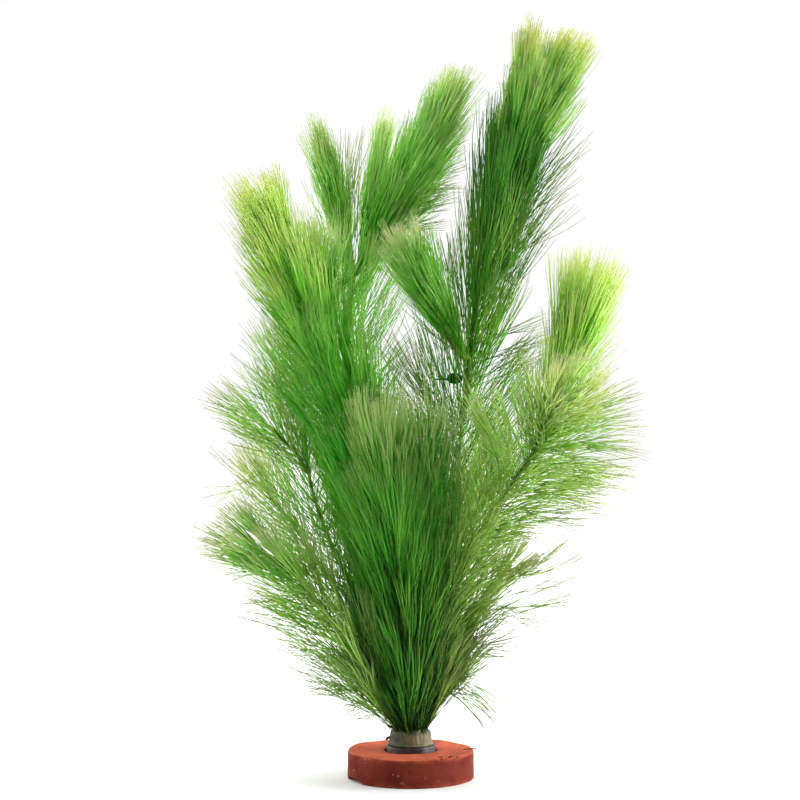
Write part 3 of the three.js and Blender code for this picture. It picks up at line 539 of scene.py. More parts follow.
def leaves(stem, shoot, strays, sizes, rng):
    """Root, tip, heading, share of the way up its shoot, leader, sag and width of fork of every leaf.

    A tip stands at its leaf's lean from the stem and at its length, and is then combed part of the way
    to the tip of its leader, the nearest of a few leaves, so that the leaves lie together in locks.
    The shoot's strays come after them, each its own leader. The whorls' places on the stem come last.
    """
    nodes, grown, lean, length = whorls_of(stem, shoot, sizes)
    m = sizes.leaves_in_whorl
    count = len(nodes) * m
    share = np.repeat(grown, m) + rng.normal(0.0, SHARE_SPREAD, count)
    place = np.repeat(nodes, m)
    turn = np.repeat(rng.uniform(0.0, math.tau, len(nodes)), m)
    turn = turn + np.tile(np.arange(m), len(nodes)) * (math.tau / m)
    turn = turn + rng.normal(0.0, TURN_SPREAD, count)
    lean = np.radians(np.repeat(lean, m) + rng.normal(0.0, LEAN_SPREAD, count))
    longer = 1.0 + rng.normal(0.0, LENGTH_SPREAD, count) + LONG_EXTRA * (rng.random(count) < LONG_LEAVES)
    length = np.repeat(length, m) * longer
    height = place + length * np.cos(lean)
    out = stem.radius(place) + length * np.sin(lean)
    tip = stem.centre(height) + stem.outward(height, turn) * out[:, None]
    leaders = rng.permutation(count)[: max(count // LOCK_SIZE, 1)]
    gap = np.linalg.norm(tip[:, None] - tip[leaders], axis=-1)
    leader = leaders[np.argmin(gap, axis=1)]
    combed = shoot.get("comb", COMB) * rng.uniform(*COMB_RANGE, count)
    tip = tip + (tip[leader] - tip) * combed[:, None]
    foot = place - along_list(shoot.get("lie", LIE), share) * length
    sag = np.full(count, shoot.get("droop", 0.0))
    strays = np.repeat(np.array(strays, float), STRAY_LEAVES, axis=0)
    extra = len(strays)
    if extra:
        leader = np.concatenate([leader, count + np.arange(extra)])
        tip = np.vstack([tip, strays[:, 1:4] + rng.normal(0.0, STRAY_SPREAD, (extra, 3))])
        scatter = rng.uniform(-FOOT_SCATTER, FOOT_SCATTER, extra)
        foot = np.concatenate([foot, strays[:, 0] * stem.length + scatter])
        share = np.concatenate([share, strays[:, 0]])
        turn = np.concatenate([turn, rng.uniform(0.0, math.tau, extra)])
        sag = np.concatenate([sag, strays[:, 4]])
    wide = np.where(np.arange(len(tip)) < count, 1.0, STRAY_SPLAY)
    lowest = stem.wrapped - FOOT_GAP if stem.wrapped else FOOT_GAP
    foot = np.maximum(foot, lowest + rng.uniform(0.0, FOOT_SCATTER, len(foot)))
    root = stem.centre(foot) + stem.outward(foot, turn) * (stem.radius(foot) * ROOT_DEPTH)[:, None]
    return (root, tip, stem.tangent(foot), share, leader, sag, wide), nodes


def deep(values):
    """A value for each leaf, set to meet the strands of the leaf and their points."""
    return values[:, None, None]


def opened(way, ease):
    """How wide a fork stands at a way past it: it opens evenly and then eases."""
    way = np.maximum(way, 0.0)
    return way * (1.0 - ease * way)


def strands(root, tip, heading, share, leader, sag, wide, shoot, sizes, rng):
    """Every leaf as seven thin tubes: a trunk, two branches and four ends.

    A point at share t of the way is root + t * reach + length * (bow * (t^2 - t) along the heading's side
    + 2 * droop * (t - t^2) straight up), with a slow sideways wave, plus at each fork passed a splay that
    grows with t and then eases. The leaves of a lock share their bow and wave. Radii narrow evenly
    towards the ends. Strays fork wider, are high in tone and carry a field of their own.
    """
    count = len(root)
    reach = tip - root
    length = np.linalg.norm(reach, axis=1)
    a = reach / length[:, None]
    b = unit(heading - a * np.sum(heading * a, axis=1, keepdims=True) + 1e-6)
    c = np.cross(a, b)
    t1 = rng.uniform(*FIRST_FORK, count)
    t2 = t1 + rng.uniform(*SECOND_FORK, count)
    turn1 = rng.uniform(0.0, math.pi, count)
    turn2 = turn1[:, None] + math.pi / 2 + rng.normal(0.0, FORK_TURN_SPREAD, (count, 2))
    splay1 = shoot["splay"] * wide * rng.uniform(*FIRST_SPLAY, count)
    splay2 = shoot["splay"] * wide * rng.uniform(*SECOND_SPLAY, count)
    lock, own = BOW_SPREAD
    bow = (shoot["bow"] + rng.normal(0.0, lock, count))[leader] + rng.normal(0.0, own, count)
    lock, own = WAVE_SPREAD
    wave = rng.normal(0.0, lock, count)[leader] + rng.normal(0.0, own, count)
    beat = rng.uniform(*WAVES, count)[leader]
    phase = rng.uniform(0.0, math.tau, count)[leader]
    thick = sizes.leaf_thickness / MM / 2 * rng.uniform(*THICKNESS_RANGE, count)
    tone = OWN_TONE * rng.uniform(0.0, 1.0, count) + LOCK_TONE * rng.uniform(0.0, 1.0, count)[leader]
    tone = np.where(wide > 1.0, STRAY_TONE + (1.0 - STRAY_TONE) * tone, tone)
    droop = sag * np.linalg.norm(a[:, :2], axis=1)
    strip = LEAF_MAP_STRIP + (1.0 - 3 * LEAF_MAP_STRIP) * np.clip(share, 0.0, 1.0)
    strip = strip + rng.uniform(-1.0, 1.0, count) * LEAF_MAP_STRIP

    spans = {"trunk": (0 * t1, t1), "branch": (t1, t2), "end": (t2, 0 * t1 + 1.0)}
    made = []
    for kinds, points in ((STALKS, STALK_POINTS), (ENDS, END_POINTS)):
        low, high = (np.stack([spans[kind][end] for kind, _, _ in kinds], axis=1)[..., None]
                     for end in (0, 1))
        side1, side2 = (np.array([kind[fork] for kind in kinds], float)[None, :, None] for fork in (1, 2))
        half = (side1[0, :, 0] > 0).astype(int)
        t = low + (high - low) * np.linspace(0.0, 1.0, points)
        fork1 = opened(t - deep(t1), FIRST_EASE) * deep(splay1) * side1
        fork2 = opened(t - deep(t2), SECOND_EASE) * deep(splay2) * side2
        lean1, lean2 = deep(turn1), turn2[:, half][..., None]
        sway = deep(wave) * t * np.sin(math.tau * deep(beat) * t + deep(phase))
        along_b = deep(bow) * (t * t - t) + fork1 * np.cos(lean1) + fork2 * np.cos(lean2)
        along_c = sway + fork1 * np.sin(lean1) + fork2 * np.sin(lean2)
        path = deep(root) + deep(length)[..., None] * (
            t[..., None] * deep(a)
            + along_b[..., None] * deep(b)
            + along_c[..., None] * deep(c)
            + (2.0 * deep(droop) * (t - t * t))[..., None] * np.array([0.0, 0.0, 1.0])
        )
        radius = deep(thick) * (1.0 - LEAF_TAPER * t)
        if kinds is ENDS:
            radius[..., -1] *= END_TAPER
        fields = {"along_leaf": t}
        for name, value in (("along_shoot", share), ("tone", tone), ("stray", 1.0 * (wide > 1.0))):
            fields[name] = np.broadcast_to(deep(value), t.shape)
        n = len(kinds)
        one_each = (count * n, points)
        low_v = np.repeat(strip, n)
        made.append(tubes(
            path.reshape(*one_each, 3), radius.reshape(one_each), np.repeat(b, n, axis=0),
            np.repeat(c, n, axis=0), LEAF_SIDES, fields, (MAP_EDGE + LEAF_MAP_WIDTH * t).reshape(one_each),
            np.stack([low_v, low_v + LEAF_MAP_STRIP], axis=1),
        ))
    return made


def stem_tube(stem, nodes):
    """The stem as one tapered tube, a little swollen at the nodes that the whorls grow from."""
    plain = np.arange(0.0, stem.length, STEM_STEP)
    s = np.concatenate([plain, nodes - NODE_REACH, nodes, nodes + NODE_REACH, [stem.length]])
    mark = np.concatenate([0 * plain, 0 * nodes, 0 * nodes + 1.0, 0 * nodes, [0.0]])
    order = np.argsort(s, kind="stable")
    s, mark = s[order], mark[order]
    radius = stem.radius(s) * (1.0 + (NODE_SWELL - 1.0) * mark)
    radius[-1] *= STEM_END_SHARE
    front = stem.outward(s, np.zeros(len(s)))
    side = np.cross(stem.tangent(s), front)
    up = s / stem.length
    fields = {"along_leaf": 0 * s, "along_shoot": up, "tone": 0 * s + 0.5, "bare_stem": 0 * s + 1.0,
              "node_mark": mark}
    up_map = MAP_EDGE + up[None] * (STEM_MAP_TOP - 2 * MAP_EDGE)
    across = np.array([[STEM_MAP_START, 1.0 - CAP_MAP_SIZE]])
    points, faces, places, fields = tubes(stem.centre(s)[None], radius[None], front[None], side[None],
                                          STEM_SIDES, fields, up_map, across)
    return points, faces, [place[:, ::-1] for place in places], fields


def capped(grid, foot, head):
    """A surface whose rows of points run round it, closed by a pole at either end.

    Returns the points, the faces as walls then ends, and their places on the map: u round it, v up it.
    """
    levels, around = grid.shape[:2]
    points = np.vstack([grid.reshape(-1, 3), [foot, head]])
    ids = np.arange(levels * around).reshape(levels, around)
    turned = np.roll(ids, -1, axis=1)
    walls = np.stack([ids[:-1], turned[:-1], turned[1:], ids[1:]], axis=-1).reshape(-1, 4)
    low = np.stack([turned[0], ids[0], np.full(around, levels * around)], axis=-1)
    high = np.stack([ids[-1], turned[-1], np.full(around, levels * around + 1)], axis=-1)
    row, column = np.meshgrid(np.arange(levels - 1) + 1, np.arange(around), indexing="ij")
    wall_u = np.stack([column, column + 1, column + 1, column], axis=-1)
    wall_v = np.stack([row, row, row + 1, row + 1], axis=-1)
    one = np.arange(around)
    end_u = np.concatenate([np.stack([one + a, one + b, one + 0.5], axis=-1) for a, b in ((1, 0), (0, 1))])
    end_v = np.repeat([[1, 1, 0], [levels, levels, levels + 1]], around, axis=0)
    size = np.array([around, levels + 1])
    places = [np.stack([u, v], axis=-1).reshape(-1, 2) / size for u, v in ((wall_u, wall_v), (end_u, end_v))]
    return points, [walls, np.vstack([low, high])], places


def ball(centre, size, around=20, levels=12):
    """A ball stretched to size: centre + size * (cos(v) cos(u), cos(v) sin(u), sin(v))."""
    u = np.arange(around) * (math.tau / around)
    v = np.linspace(-math.pi / 2, math.pi / 2, levels + 2)[1:-1, None]
    grid = np.stack([np.cos(v) * np.cos(u), np.cos(v) * np.sin(u), np.sin(v) + 0 * u], axis=-1)
    points, faces, places = capped(grid, (0, 0, -1), (0, 0, 1))
    return np.array(centre) + points * np.array(size), faces, places


def make_piece(name, vertices, face_sets, map_places, fields, material, slot, node):
    """A mesh object from arrays in millimetres, riding on the body and standing for its CAD node."""
    mesh = bpy.data.meshes.new(name)
    corners = np.concatenate([faces.reshape(-1) for faces in face_sets])
    totals = np.concatenate([np.full(len(faces), faces.shape[1]) for faces in face_sets])
    starts = np.concatenate([[0], np.cumsum(totals)[:-1]])
    mesh.vertices.add(len(vertices))
    mesh.vertices.foreach_set("co", (vertices * MM).astype(np.float32).reshape(-1))
    mesh.loops.add(len(corners))
    mesh.loops.foreach_set("vertex_index", corners.astype(np.int32))
    mesh.polygons.add(len(totals))
    mesh.polygons.foreach_set("loop_start", starts.astype(np.int32))
    mesh.polygons.foreach_set("loop_total", totals.astype(np.int32))
    mesh.polygons.foreach_set("use_smooth", np.ones(len(totals), bool))
    mesh.update(calc_edges=True)
    if mesh.validate():
        raise RuntimeError(f"{name} had faces that Blender could not keep")
    for field, values in fields.items():
        layer = mesh.attributes.new(field, "FLOAT", "POINT")
        layer.data.foreach_set("value", values.astype(np.float32))
    layer = mesh.uv_layers.new(name="OFBake")
    layer.data.foreach_set("uv", np.vstack(map_places).astype(np.float32).reshape(-1))
    mesh.materials.append(material)
    piece = bpy.data.objects.new(name, mesh)
    bpy.context.scene.collection.objects.link(piece)
    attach(piece, BODY)
    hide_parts(node)
    return piece


def join(parts):
    """Vertices, faces by corner count with their map places, and fields of several closed surfaces."""
    vertices, groups, fields, start = [], {}, {}, 0
    names = sorted({name for part in parts for name in part[3]})
    for points, faces, places, values in parts:
        vertices.append(points)
        for group, place in zip(faces, places):
            groups.setdefault(group.shape[1], []).append((group + start, place.reshape(-1, 2)))
        for name in names:
            fields.setdefault(name, []).append(values.get(name, np.zeros(len(points))))
        start += len(points)
    face_sets = [np.vstack([faces for faces, _ in group]) for group in groups.values()]
    map_places = [np.vstack([places for _, places in group]) for group in groups.values()]
    fields = {name: np.concatenate(values) for name, values in fields.items()}
    return np.vstack(vertices), face_sets, map_places, fields


def closed_band(profile, sides):
    """A ring-shaped surface: the closed profile of (radius, height) points carried round the Z axis."""
    angle = np.arange(sides) * (math.tau / sides)
    radius, height = profile[:, 0], profile[:, 1]
    points = np.stack([np.cos(angle)[:, None] * radius, np.sin(angle)[:, None] * radius,
                       np.broadcast_to(height, (sides, len(height)))], axis=-1)
    ids = np.arange(sides * len(profile)).reshape(sides, len(profile))
    around = np.roll(ids, -1, axis=0)
    faces = np.stack([ids, around, np.roll(around, -1, axis=1), np.roll(ids, -1, axis=1)], axis=-1)
    return points.reshape(-1, 3), faces.reshape(-1, 4)


def grid_uv(sides, points):
    """Corner places on the bake map for closed_band's faces: u round the axis, v along the profile."""
    u, v = np.meshgrid(np.arange(sides), np.arange(points), indexing="ij")
    corner_u = np.stack([u, u + 1, u + 1, u], axis=-1) / sides
    corner_v = np.stack([v, v, v + 1, v + 1], axis=-1) / points
    return np.stack([corner_u, corner_v], axis=-1).reshape(-1, 2)


# Points round a corner of a profile, and how far from it, in millimetres, its edge wears.
CORNER_POINTS, EDGE_REACH = 7, 0.5


def rounded_profile(inner, outer, low, high, rounds, step):
    """Closed profile of a rectangle with rounded corners, anticlockwise from its inner foot.

    rounds are the radii of the inner foot, outer foot, outer top and inner top, and step is the
    distance between points. Returns the points, their outward normals and how near each is to a
    corner, from 0 to 1.
    """
    corners = [(inner, low, 180, 1, 1), (outer, low, 270, -1, 1), (outer, high, 0, -1, -1),
               (inner, high, 90, 1, -1)]
    points, normals, edge = [], [], []
    for (x, z, start, sx, sz), r in zip(corners, rounds):
        turns = np.radians(start + np.linspace(0.0, 90.0, CORNER_POINTS))
        normal = np.stack([np.cos(turns), np.sin(turns)], axis=-1)
        points.append(np.array([x + sx * r, z + sz * r]) + normal * r)
        normals.append(normal)
        edge.append(np.ones(CORNER_POINTS))
    all_points, all_normals, all_edge = [], [], []
    for i in range(4):
        p, q = points[i][-1], points[(i + 1) % 4][0]
        n = max(int(np.linalg.norm(q - p) / step), 2)
        share = np.linspace(0.0, 1.0, n + 1)[1:-1]
        flat = p + (q - p) * share[:, None]
        nearest = np.minimum(share, 1 - share) * np.linalg.norm(q - p)
        all_points += [points[i], flat]
        all_normals += [normals[i], np.repeat(normals[i][-1:], len(flat), axis=0)]
        all_edge += [edge[i], np.exp(-nearest / EDGE_REACH)]
    return np.vstack(all_points), np.vstack(all_normals), np.concatenate(all_edge)


def scoop(points, centre, size, turn=0.0):
    """Pushes the points that lie inside an ellipsoid out to its surface, along the rays from its middle."""
    cos, sin = math.cos(turn), math.sin(turn)
    spin = np.array([[cos, -sin, 0], [sin, cos, 0], [0, 0, 1]])
    local = (points - centre) @ spin / size
    distance = np.linalg.norm(local, axis=1)
    inside = (distance < 1.0) & (distance > 1e-9)
    local[inside] /= distance[inside, None]
    points[inside] = (local[inside] * size) @ spin.T + centre
    return inside


def at_bearing(radius, bearing, height=0.0):
    """The point at a distance from the Z axis and a bearing in degrees."""
    angle = math.radians(bearing)
    return np.array([radius * math.cos(angle), radius * math.sin(angle), height])


class Nodes:
    """Short ways to lay out a material's nodes. A value may be a number, a colour or a socket."""

    def __init__(self, name, **constants):
        self.material = bpy.data.materials.new(name)
        self.material.use_nodes = True
        self.tree = self.material.node_tree
        self.tree.nodes.clear()
        self.shader = self.add("BsdfPrincipled")
        self.tree.links.new(self.shader.outputs[0], self.add("OutputMaterial").inputs["Surface"])
        for socket, value in constants.items():
            self.feed(self.shader.inputs[socket.replace("_", " ")], value)
        self.place = self.add("TexCoord").outputs["Object"]

    def feed(self, socket, value):
        if isinstance(value, bpy.types.NodeSocket):
            self.tree.links.new(value, socket)
        elif isinstance(value, (int, float)):
            socket.default_value = value
        else:
            socket.default_value = (*value[:3], 1.0) if len(socket.default_value) == 4 else value

    def add(self, kind, inputs=(), **settings):
        """A node of a kind, with its settings, and its inputs given by their names or numbers."""
        node = self.tree.nodes.new("ShaderNode" + kind)
        for name, value in settings.items():
            setattr(node, name, value)
        for socket, value in dict(inputs).items():
            self.feed(node.inputs[socket], value)
        return node

    def attribute(self, name):
        return self.add("Attribute", attribute_name=name).outputs["Fac"]

    def noise(self, scale, detail=3.0, roughness=0.55, place=None):
        given = {"Vector": place or self.place, "Scale": scale, "Detail": detail, "Roughness": roughness}
        return self.add("TexNoise", given).outputs["Fac"]

    def squeezed(self, scales):
        return self.add("Mapping", {"Vector": self.place, "Scale": scales}).outputs["Vector"]

    def along_axes(self):
        """The X, Y and Z of the place on the surface."""
        return self.add("SeparateXYZ", {0: self.place}).outputs

    def span(self, value, low, high, to_low=0.0, to_high=1.0, smooth=True):
        """Value taken from the span low to high over to the span to_low to to_high, and held beyond it."""
        given = {"Value": value, "From Min": low, "From Max": high, "To Min": to_low, "To Max": to_high}
        kind = "SMOOTHSTEP" if smooth else "LINEAR"
        return self.add("MapRange", given, interpolation_type=kind).outputs["Result"]

    def blotches(self, scale, *limits, detail=3.0):
        """Noise at a scale, spread by span's limits."""
        return self.span(self.noise(scale, detail), *limits)

    def maths(self, operation, a, b=0.0):
        return self.add("Math", {0: a, 1: b}, operation=operation).outputs[0]

    def times(self, a, b):
        return self.maths("MULTIPLY", a, b)

    def plus(self, a, b):
        return self.maths("ADD", a, b)

    def mix(self, share, a, b):
        """A colour that is a share of the way from a to b."""
        return self.add("Mix", {0: share, 6: a, 7: b}, data_type="RGBA").outputs[2]

    def ramp(self, share, *stops):
        """Colour at a share of the way along stops of (place, colour)."""
        node = self.add("ValToRGB", {"Fac": share})
        elements = node.color_ramp.elements
        while len(elements) < len(stops):
            elements.new(1.0)
        for element, (place, colour) in zip(elements, stops):
            element.position = place
            element.color = (*colour[:3], 1.0)
        return node.outputs["Color"]

    def bump(self, height, distance, strength=1.0, **under):
        """Relief from a height, laid over the normal that under may hold."""
        given = {"Strength": strength, "Distance": distance, "Height": height, **under}
        return self.add("Bump", given).outputs["Normal"]

    def finish(self, **inputs):
        """The material, once its shader has its inputs."""
        for socket, value in inputs.items():
            self.feed(self.shader.inputs[socket.replace("_", " ")], value)
        return self.material


def darker(colour, factor):
    """A colour with each channel multiplied by a factor."""
    return tuple(channel * factor for channel in colour[:3])


def leaf_body(n, old, young, age, tone):
    """From old leaves to young ones up the shoot, each leaf a little warmer or paler than the next."""
    flicker = n.maths("FRACT", n.times(tone, 7.3))
    return n.add("HueSaturation", {
        "Hue": n.span(tone, 0.0, 1.0, 0.49, 0.51, smooth=False),
        "Value": n.span(flicker, 0.0, 1.0, 0.94, 1.08, smooth=False),
        "Color": n.ramp(age, (0.0, darker(old, 0.8)), (0.35, old), (0.63, old), (0.93, young)),
    }).outputs["Color"]


def leaf_ends(n, body, ends, dryness, age, tone, up_leaf, colours):
    """The leaf paling towards its ends, the more so the younger it is, and some ends dry and brown."""
    old_ends, young_ends = ends
    paled = n.times(n.span(up_leaf, 0.58, 1.0, 0.0, 0.9), n.span(age, 0.45, 0.95, 0.3, 1.0))
    pale = n.mix(paled, body, n.mix(n.span(age, 0.72, 0.92), old_ends, young_ends))
    dry = n.times(n.span(up_leaf, 0.84, 1.0), n.span(tone, 0.4, 0.75, 0.15 * dryness, dryness))
    return n.mix(n.times(dry, n.span(age, 0.70, 0.95, 1.0, 0.4)), pale, colours.dry_end)


def crown_shade(n, place):
    """Painted shade: how deep a place lies inside the foot of the plant, low down and near the middle of its
    cone, where the leaves shade each other.
    """
    x, y, z = (place[axis] for axis in "XYZ")
    off_axis = n.maths("SQRT", n.plus(n.times(x, x), n.times(y, y)))
    low = n.span(z, 0.02, 0.105, 0.93, 0.0)
    return n.times(low, n.span(n.maths("DIVIDE", off_axis, z), 0.34, 0.78, 1.0, 0.0))


def leaf_material(look, colours):
    """Leaves, stem and bud of one look. Loose leaves are browner and let less light through."""
    *names, dryness, _ = LOOKS[look]
    old, young, *ends = (getattr(colours, name) for name in names)
    n = Nodes(f"hornwort_{look}", Subsurface_Scale=0.0008, Subsurface_Radius=(0.8, 1.0, 0.3),
              Specular_IOR_Level=0.1)
    up_shoot, up_leaf, stray, tone = map(n.attribute, ("along_shoot", "along_leaf", "stray", "tone"))
    glow = n.times(n.span(up_leaf, 0.7, 1.0, 0.6, 0.1), n.span(stray, 0.0, 1.0, 1.0, 0.6))
    higher = n.plus(n.times(up_shoot, 0.86), n.times(up_leaf, 0.14))
    age = n.plus(higher, n.blotches(70.0, 0.3, 0.7, -0.06, 0.06))
    body = leaf_body(n, old, young, age, tone)
    leaf = leaf_ends(n, body, ends, dryness, age, tone, up_leaf, colours)
    place = n.along_axes()
    loose = n.mix(n.span(place["Z"], 0.035, 0.10), colours.dry_end, colours.loose_end)
    leaf = n.mix(n.times(stray, n.span(up_leaf, 0.35, 0.95, 0.0, 0.75)), leaf, loose)
    # Painted shade: each leaf darker towards its root, where the whorl crowds round the stem.
    leaf = n.mix(n.span(up_leaf, 0.0, 0.3, 0.25, 0.0), leaf, darker(old, 0.6))
    # Painted shade: the leaves deep inside the foot of the plant turn near black.
    leaf = n.mix(crown_shade(n, place), leaf, colours.crown_shade)
    stem = n.mix(n.blotches(260.0, 0.35, 0.65), darker(colours.stem, 0.7), colours.stem)
    stem = n.mix(n.times(n.attribute("node_mark"), 0.6), stem, colours.stem_node)
    whole = n.mix(n.attribute("bare_stem"), leaf, stem)
    whole = n.mix(n.attribute("dark_bud"), whole, colours.bud)
    return n.finish(Base_Color=whole, Roughness=n.blotches(1500.0, 0.3, 0.7, 0.42, 0.62),
                    Subsurface_Weight=glow, Normal=n.bump(n.noise(3200.0), 0.00006))


def clay_material(colours):
    """Fired clay: a matt orange red with pale dust patches, painted light over its top face, dark pores, pale
    grit and worn edges.
    """
    n = Nodes("fired_clay", Specular_IOR_Level=0.12)
    # Painted light: the upward faces take the pale clay most of the way, as if lit from above. The blotches
    # in it are dust.
    painted_top_light = n.times(n.attribute("top"), n.blotches(150.0, 0.2, 0.8, 0.7, 1.0))
    dust_and_top_light = n.maths("MAXIMUM", n.blotches(110.0, 0.3, 0.75, 0.0, 0.16, detail=4.0), painted_top_light)
    clay = n.mix(dust_and_top_light, colours.clay, colours.clay_pale)
    clay = n.mix(n.blotches(55.0, 0.45, 0.75, 0.0, 0.35), clay, colours.clay_deep)
    smears = n.noise(1.0, 4.0, 0.6, n.squeezed((260.0, 260.0, 900.0)))
    clay = n.mix(n.span(smears, 0.5, 0.8, 0.0, 0.35), clay, darker(colours.clay, 0.7))
    grit = n.add("TexVoronoi", {"Vector": n.place, "Scale": 700.0}).outputs
    specks = n.times(n.span(grit["Distance"], 0.10, 0.16, 1.0, 0.0), n.span(grit["Color"], 0.80, 0.82))
    clay = n.mix(n.times(specks, 0.75), clay, colours.grit_fine)
    pores = n.blotches(1900.0, 0.68, 0.76, detail=2.0)
    clay = n.mix(n.times(pores, 0.35), clay, darker(colours.clay_deep, 0.6))
    worn = n.times(n.attribute("edge"), n.blotches(300.0, 0.35, 0.65))
    clay = n.mix(n.times(worn, 0.2), clay, colours.clay_pale)
    clay = n.mix(n.times(n.attribute("grit"), 0.5), clay, colours.grit_coarse)
    broken = n.mix(n.blotches(900.0, 0.35, 0.65), colours.clay_deep, colours.clay)
    clay = n.mix(n.attribute("broken"), clay, broken)
    clay = n.mix(n.attribute("scrap"), clay, colours.scrap)
    grain = n.bump(n.noise(1100.0, 4.0, 0.65), 0.00005, 0.5)
    fine = n.bump(n.noise(5200.0, 2.0), 0.00002, 0.5, Normal=grain)
    return n.finish(Base_Color=clay, Roughness=n.blotches(240.0, 0.3, 0.7, 0.78, 0.95), Normal=fine)


def foam_material(colours):
    """Wet foam: pale with fine pores, and dark green on the left where stems show through it."""
    n = Nodes("wet_foam", Subsurface_Weight=0.25, Subsurface_Scale=0.0012,
              Subsurface_Radius=(1.0, 0.9, 0.6), Specular_IOR_Level=0.4)
    place = n.along_axes()
    streaks = n.noise(1.0, 3.0, 0.6, n.squeezed((520.0, 520.0, 90.0)))
    side = n.plus(place["X"], n.span(streaks, 0.2, 0.8, -0.0026, 0.0026))
    shown = n.span(side, -0.0050, 0.0020, 0.88, 0.22)
    top = n.span(n.plus(place["Z"], n.times(streaks, 0.002)), 0.0158, 0.0182)
    clean = n.mix(n.blotches(420.0, 0.3, 0.7), darker(colours.foam, 0.72), colours.foam)
    green = n.mix(n.blotches(300.0, 0.35, 0.65), colours.foam_dark, colours.foam_green)
    foam = n.mix(n.maths("MAXIMUM", shown, top), clean, green)
    pores = n.noise(2600.0, 2.0)
    foam = n.mix(n.span(pores, 0.60, 0.72, 0.0, 0.5), foam, darker(colours.foam_dark, 1.6))
    pitted = n.bump(pores, 0.00018, 0.7, Normal=n.bump(streaks, 0.0004, 0.6))
    return n.finish(Base_Color=foam, Roughness=n.blotches(500.0, 0.3, 0.7, 0.42, 0.68), Normal=pitted)


def band_material(colours):
    """Dark rubbery band with fine lines round it, and teal-grey blotches that are partly dust and partly
    painted sheen.
    """
    n = Nodes("dark_band", Specular_IOR_Level=0.5)
    lines = n.noise(1.0, 2.0, 0.5, n.squeezed((120.0, 120.0, 5200.0)))
    # Partly dust, partly painted sheen: teal-grey blotches over the band.
    bloom_and_sheen = n.blotches(380.0, 0.45, 0.75, 0.0, 0.55, detail=4.0)
    band = n.mix(bloom_and_sheen, colours.band, colours.band_bloom)
    band = n.mix(n.span(lines, 0.55, 0.75, 0.0, 0.4), band, darker(colours.band, 0.5))
    return n.finish(Base_Color=band, Roughness=n.blotches(600.0, 0.3, 0.7, 0.38, 0.60),
                    Normal=n.bump(lines, 0.00008, 0.8))


# The clay ring: its sides, rounded corners and the step of its profile, and the depth, size and seed of each
# unevenness. Its underside, where the normals point down, is flatter.
RING_SIDES, RING_ROUNDS, RING_STEP = 400, (0.5, 0.6, 0.7, 0.5), 0.42
RING_RIPPLES, UNDERSIDE, FOOT_FLATNESS = [(0.13, 14.0, 3), (0.03, 4.0, 4), (0.012, 1.3, 5)], -0.9, 0.3
# What is knocked out of the ring: the flake at its foot, then pits in its rim by bearing, size and distance
# in from the edge, and nicks in its side by bearing, height and size. Bearings are in degrees.
FLAKE = dict(bearing=205, outside=0.8, size=(3.4, 7.6, 1.4))
RIM_PITS = [(-61.0, 0.45, 0.4), (-58.0, 0.70, 3.0), (-55.5, 0.50, 0.9), (-53.0, 0.45, 4.2),
            (-50.0, 0.70, 1.6), (-47.0, 0.45, 0.1), (-44.5, 0.75, 2.8), (-41.5, 0.55, 0.6),
            (-38.0, 0.50, 2.0)]
PIT_SHAPE, PIT_LIFT = np.array([1.0, 1.3, 1.0]), 0.15
SIDE_NICKS = [(-160, 5.6, 0.35), (-79.0, 3.6, 0.40), (-80.5, 1.7, 0.35), (-76.0, 2.4, 0.30), (-30, 4.0, 0.35),
              (40, 6.0, 0.6), (98, 3.0, 0.5), (140, 7.0, 0.4)]
NICK_LIFT, NICK_PALENESS = 0.35, 0.7
# Pale grains on the ring: distance from the axis, bearing, height and half size, at which they fade.
GRIT = [(22.5, -153.0, 4.4, 0.30), (22.5, -101.5, 4.6, 0.30), (22.5, -98.5, 1.9, 0.22),
        (22.5, -97.2, 2.2, 0.20), (22.5, -96.2, 1.6, 0.22), (22.5, -77.0, 3.9, 0.22),
        (10.2, -12.0, 10.0, 0.40)]
GRIT_REACH = 1.6
# A scrap of dark leaf on the ring's rim, its radius at the ends and in the middle, and its place on the bake
# map, below where the ring's own begins.
SCRAP = [(18.6, -1.6, 10.15), (20.2, -1.3, 10.35), (21.8, -1.2, 10.45), (23.2, -1.1, 10.35),
         (24.6, -1.2, 10.2)]
SCRAP_RADII, SCRAP_SIDES = (0.06, 0.22), 8
SCRAP_MAP, RING_MAP_START = (0.01, 0.20, 0.005, 0.03), 0.04
# The foam collar: points up its outline and round it, and the seam down it by bearing, width in radians
# and depth.
COLLAR_LEVELS, COLLAR_SIDES = 110, 220
COLLAR_FOOT, COLLAR_TOP, BAND_LOW, BAND_HIGH = 0.6, WRAP_TOP + 2.6, 8.2, 11.9
SEAM = dict(bearing=236, width=0.035, depth=0.30)
# The loose edge of the foam, curled over on its left, and the places of it and of the collar on the map.
CURL = dict(bearing=189, height=13.6, radius=1.1, thickness=0.55, turn=250, points=16, sides=12)
CURL_MAP, FOAM_MAP_START = (0.01, 0.5, 0.01, 0.05), 0.07
# The band: its rounded corners, profile step and sides, its unevenness as a share, and its tilt and sag.
BAND_ROUNDS, BAND_STEP, BAND_SIDES = (0.2, 0.35, 0.35, 0.2), 0.3, 240
BAND_UNEVEN, BAND_TILT, BAND_SAG = (0.006, 5.0, 21), 0.12, 0.04
# The foam's play in the hole, the band's thickness, and its play round the waist of the foam.
HOLE_PLAY, BAND_THICKNESS, BAND_GRIP = 0.35, 1.2, 0.05


def raised(places, start):
    """Places on the bake map squeezed into the part of it above start."""
    return np.array([0.0, start]) + places * np.array([1.0, 1.0 - start])


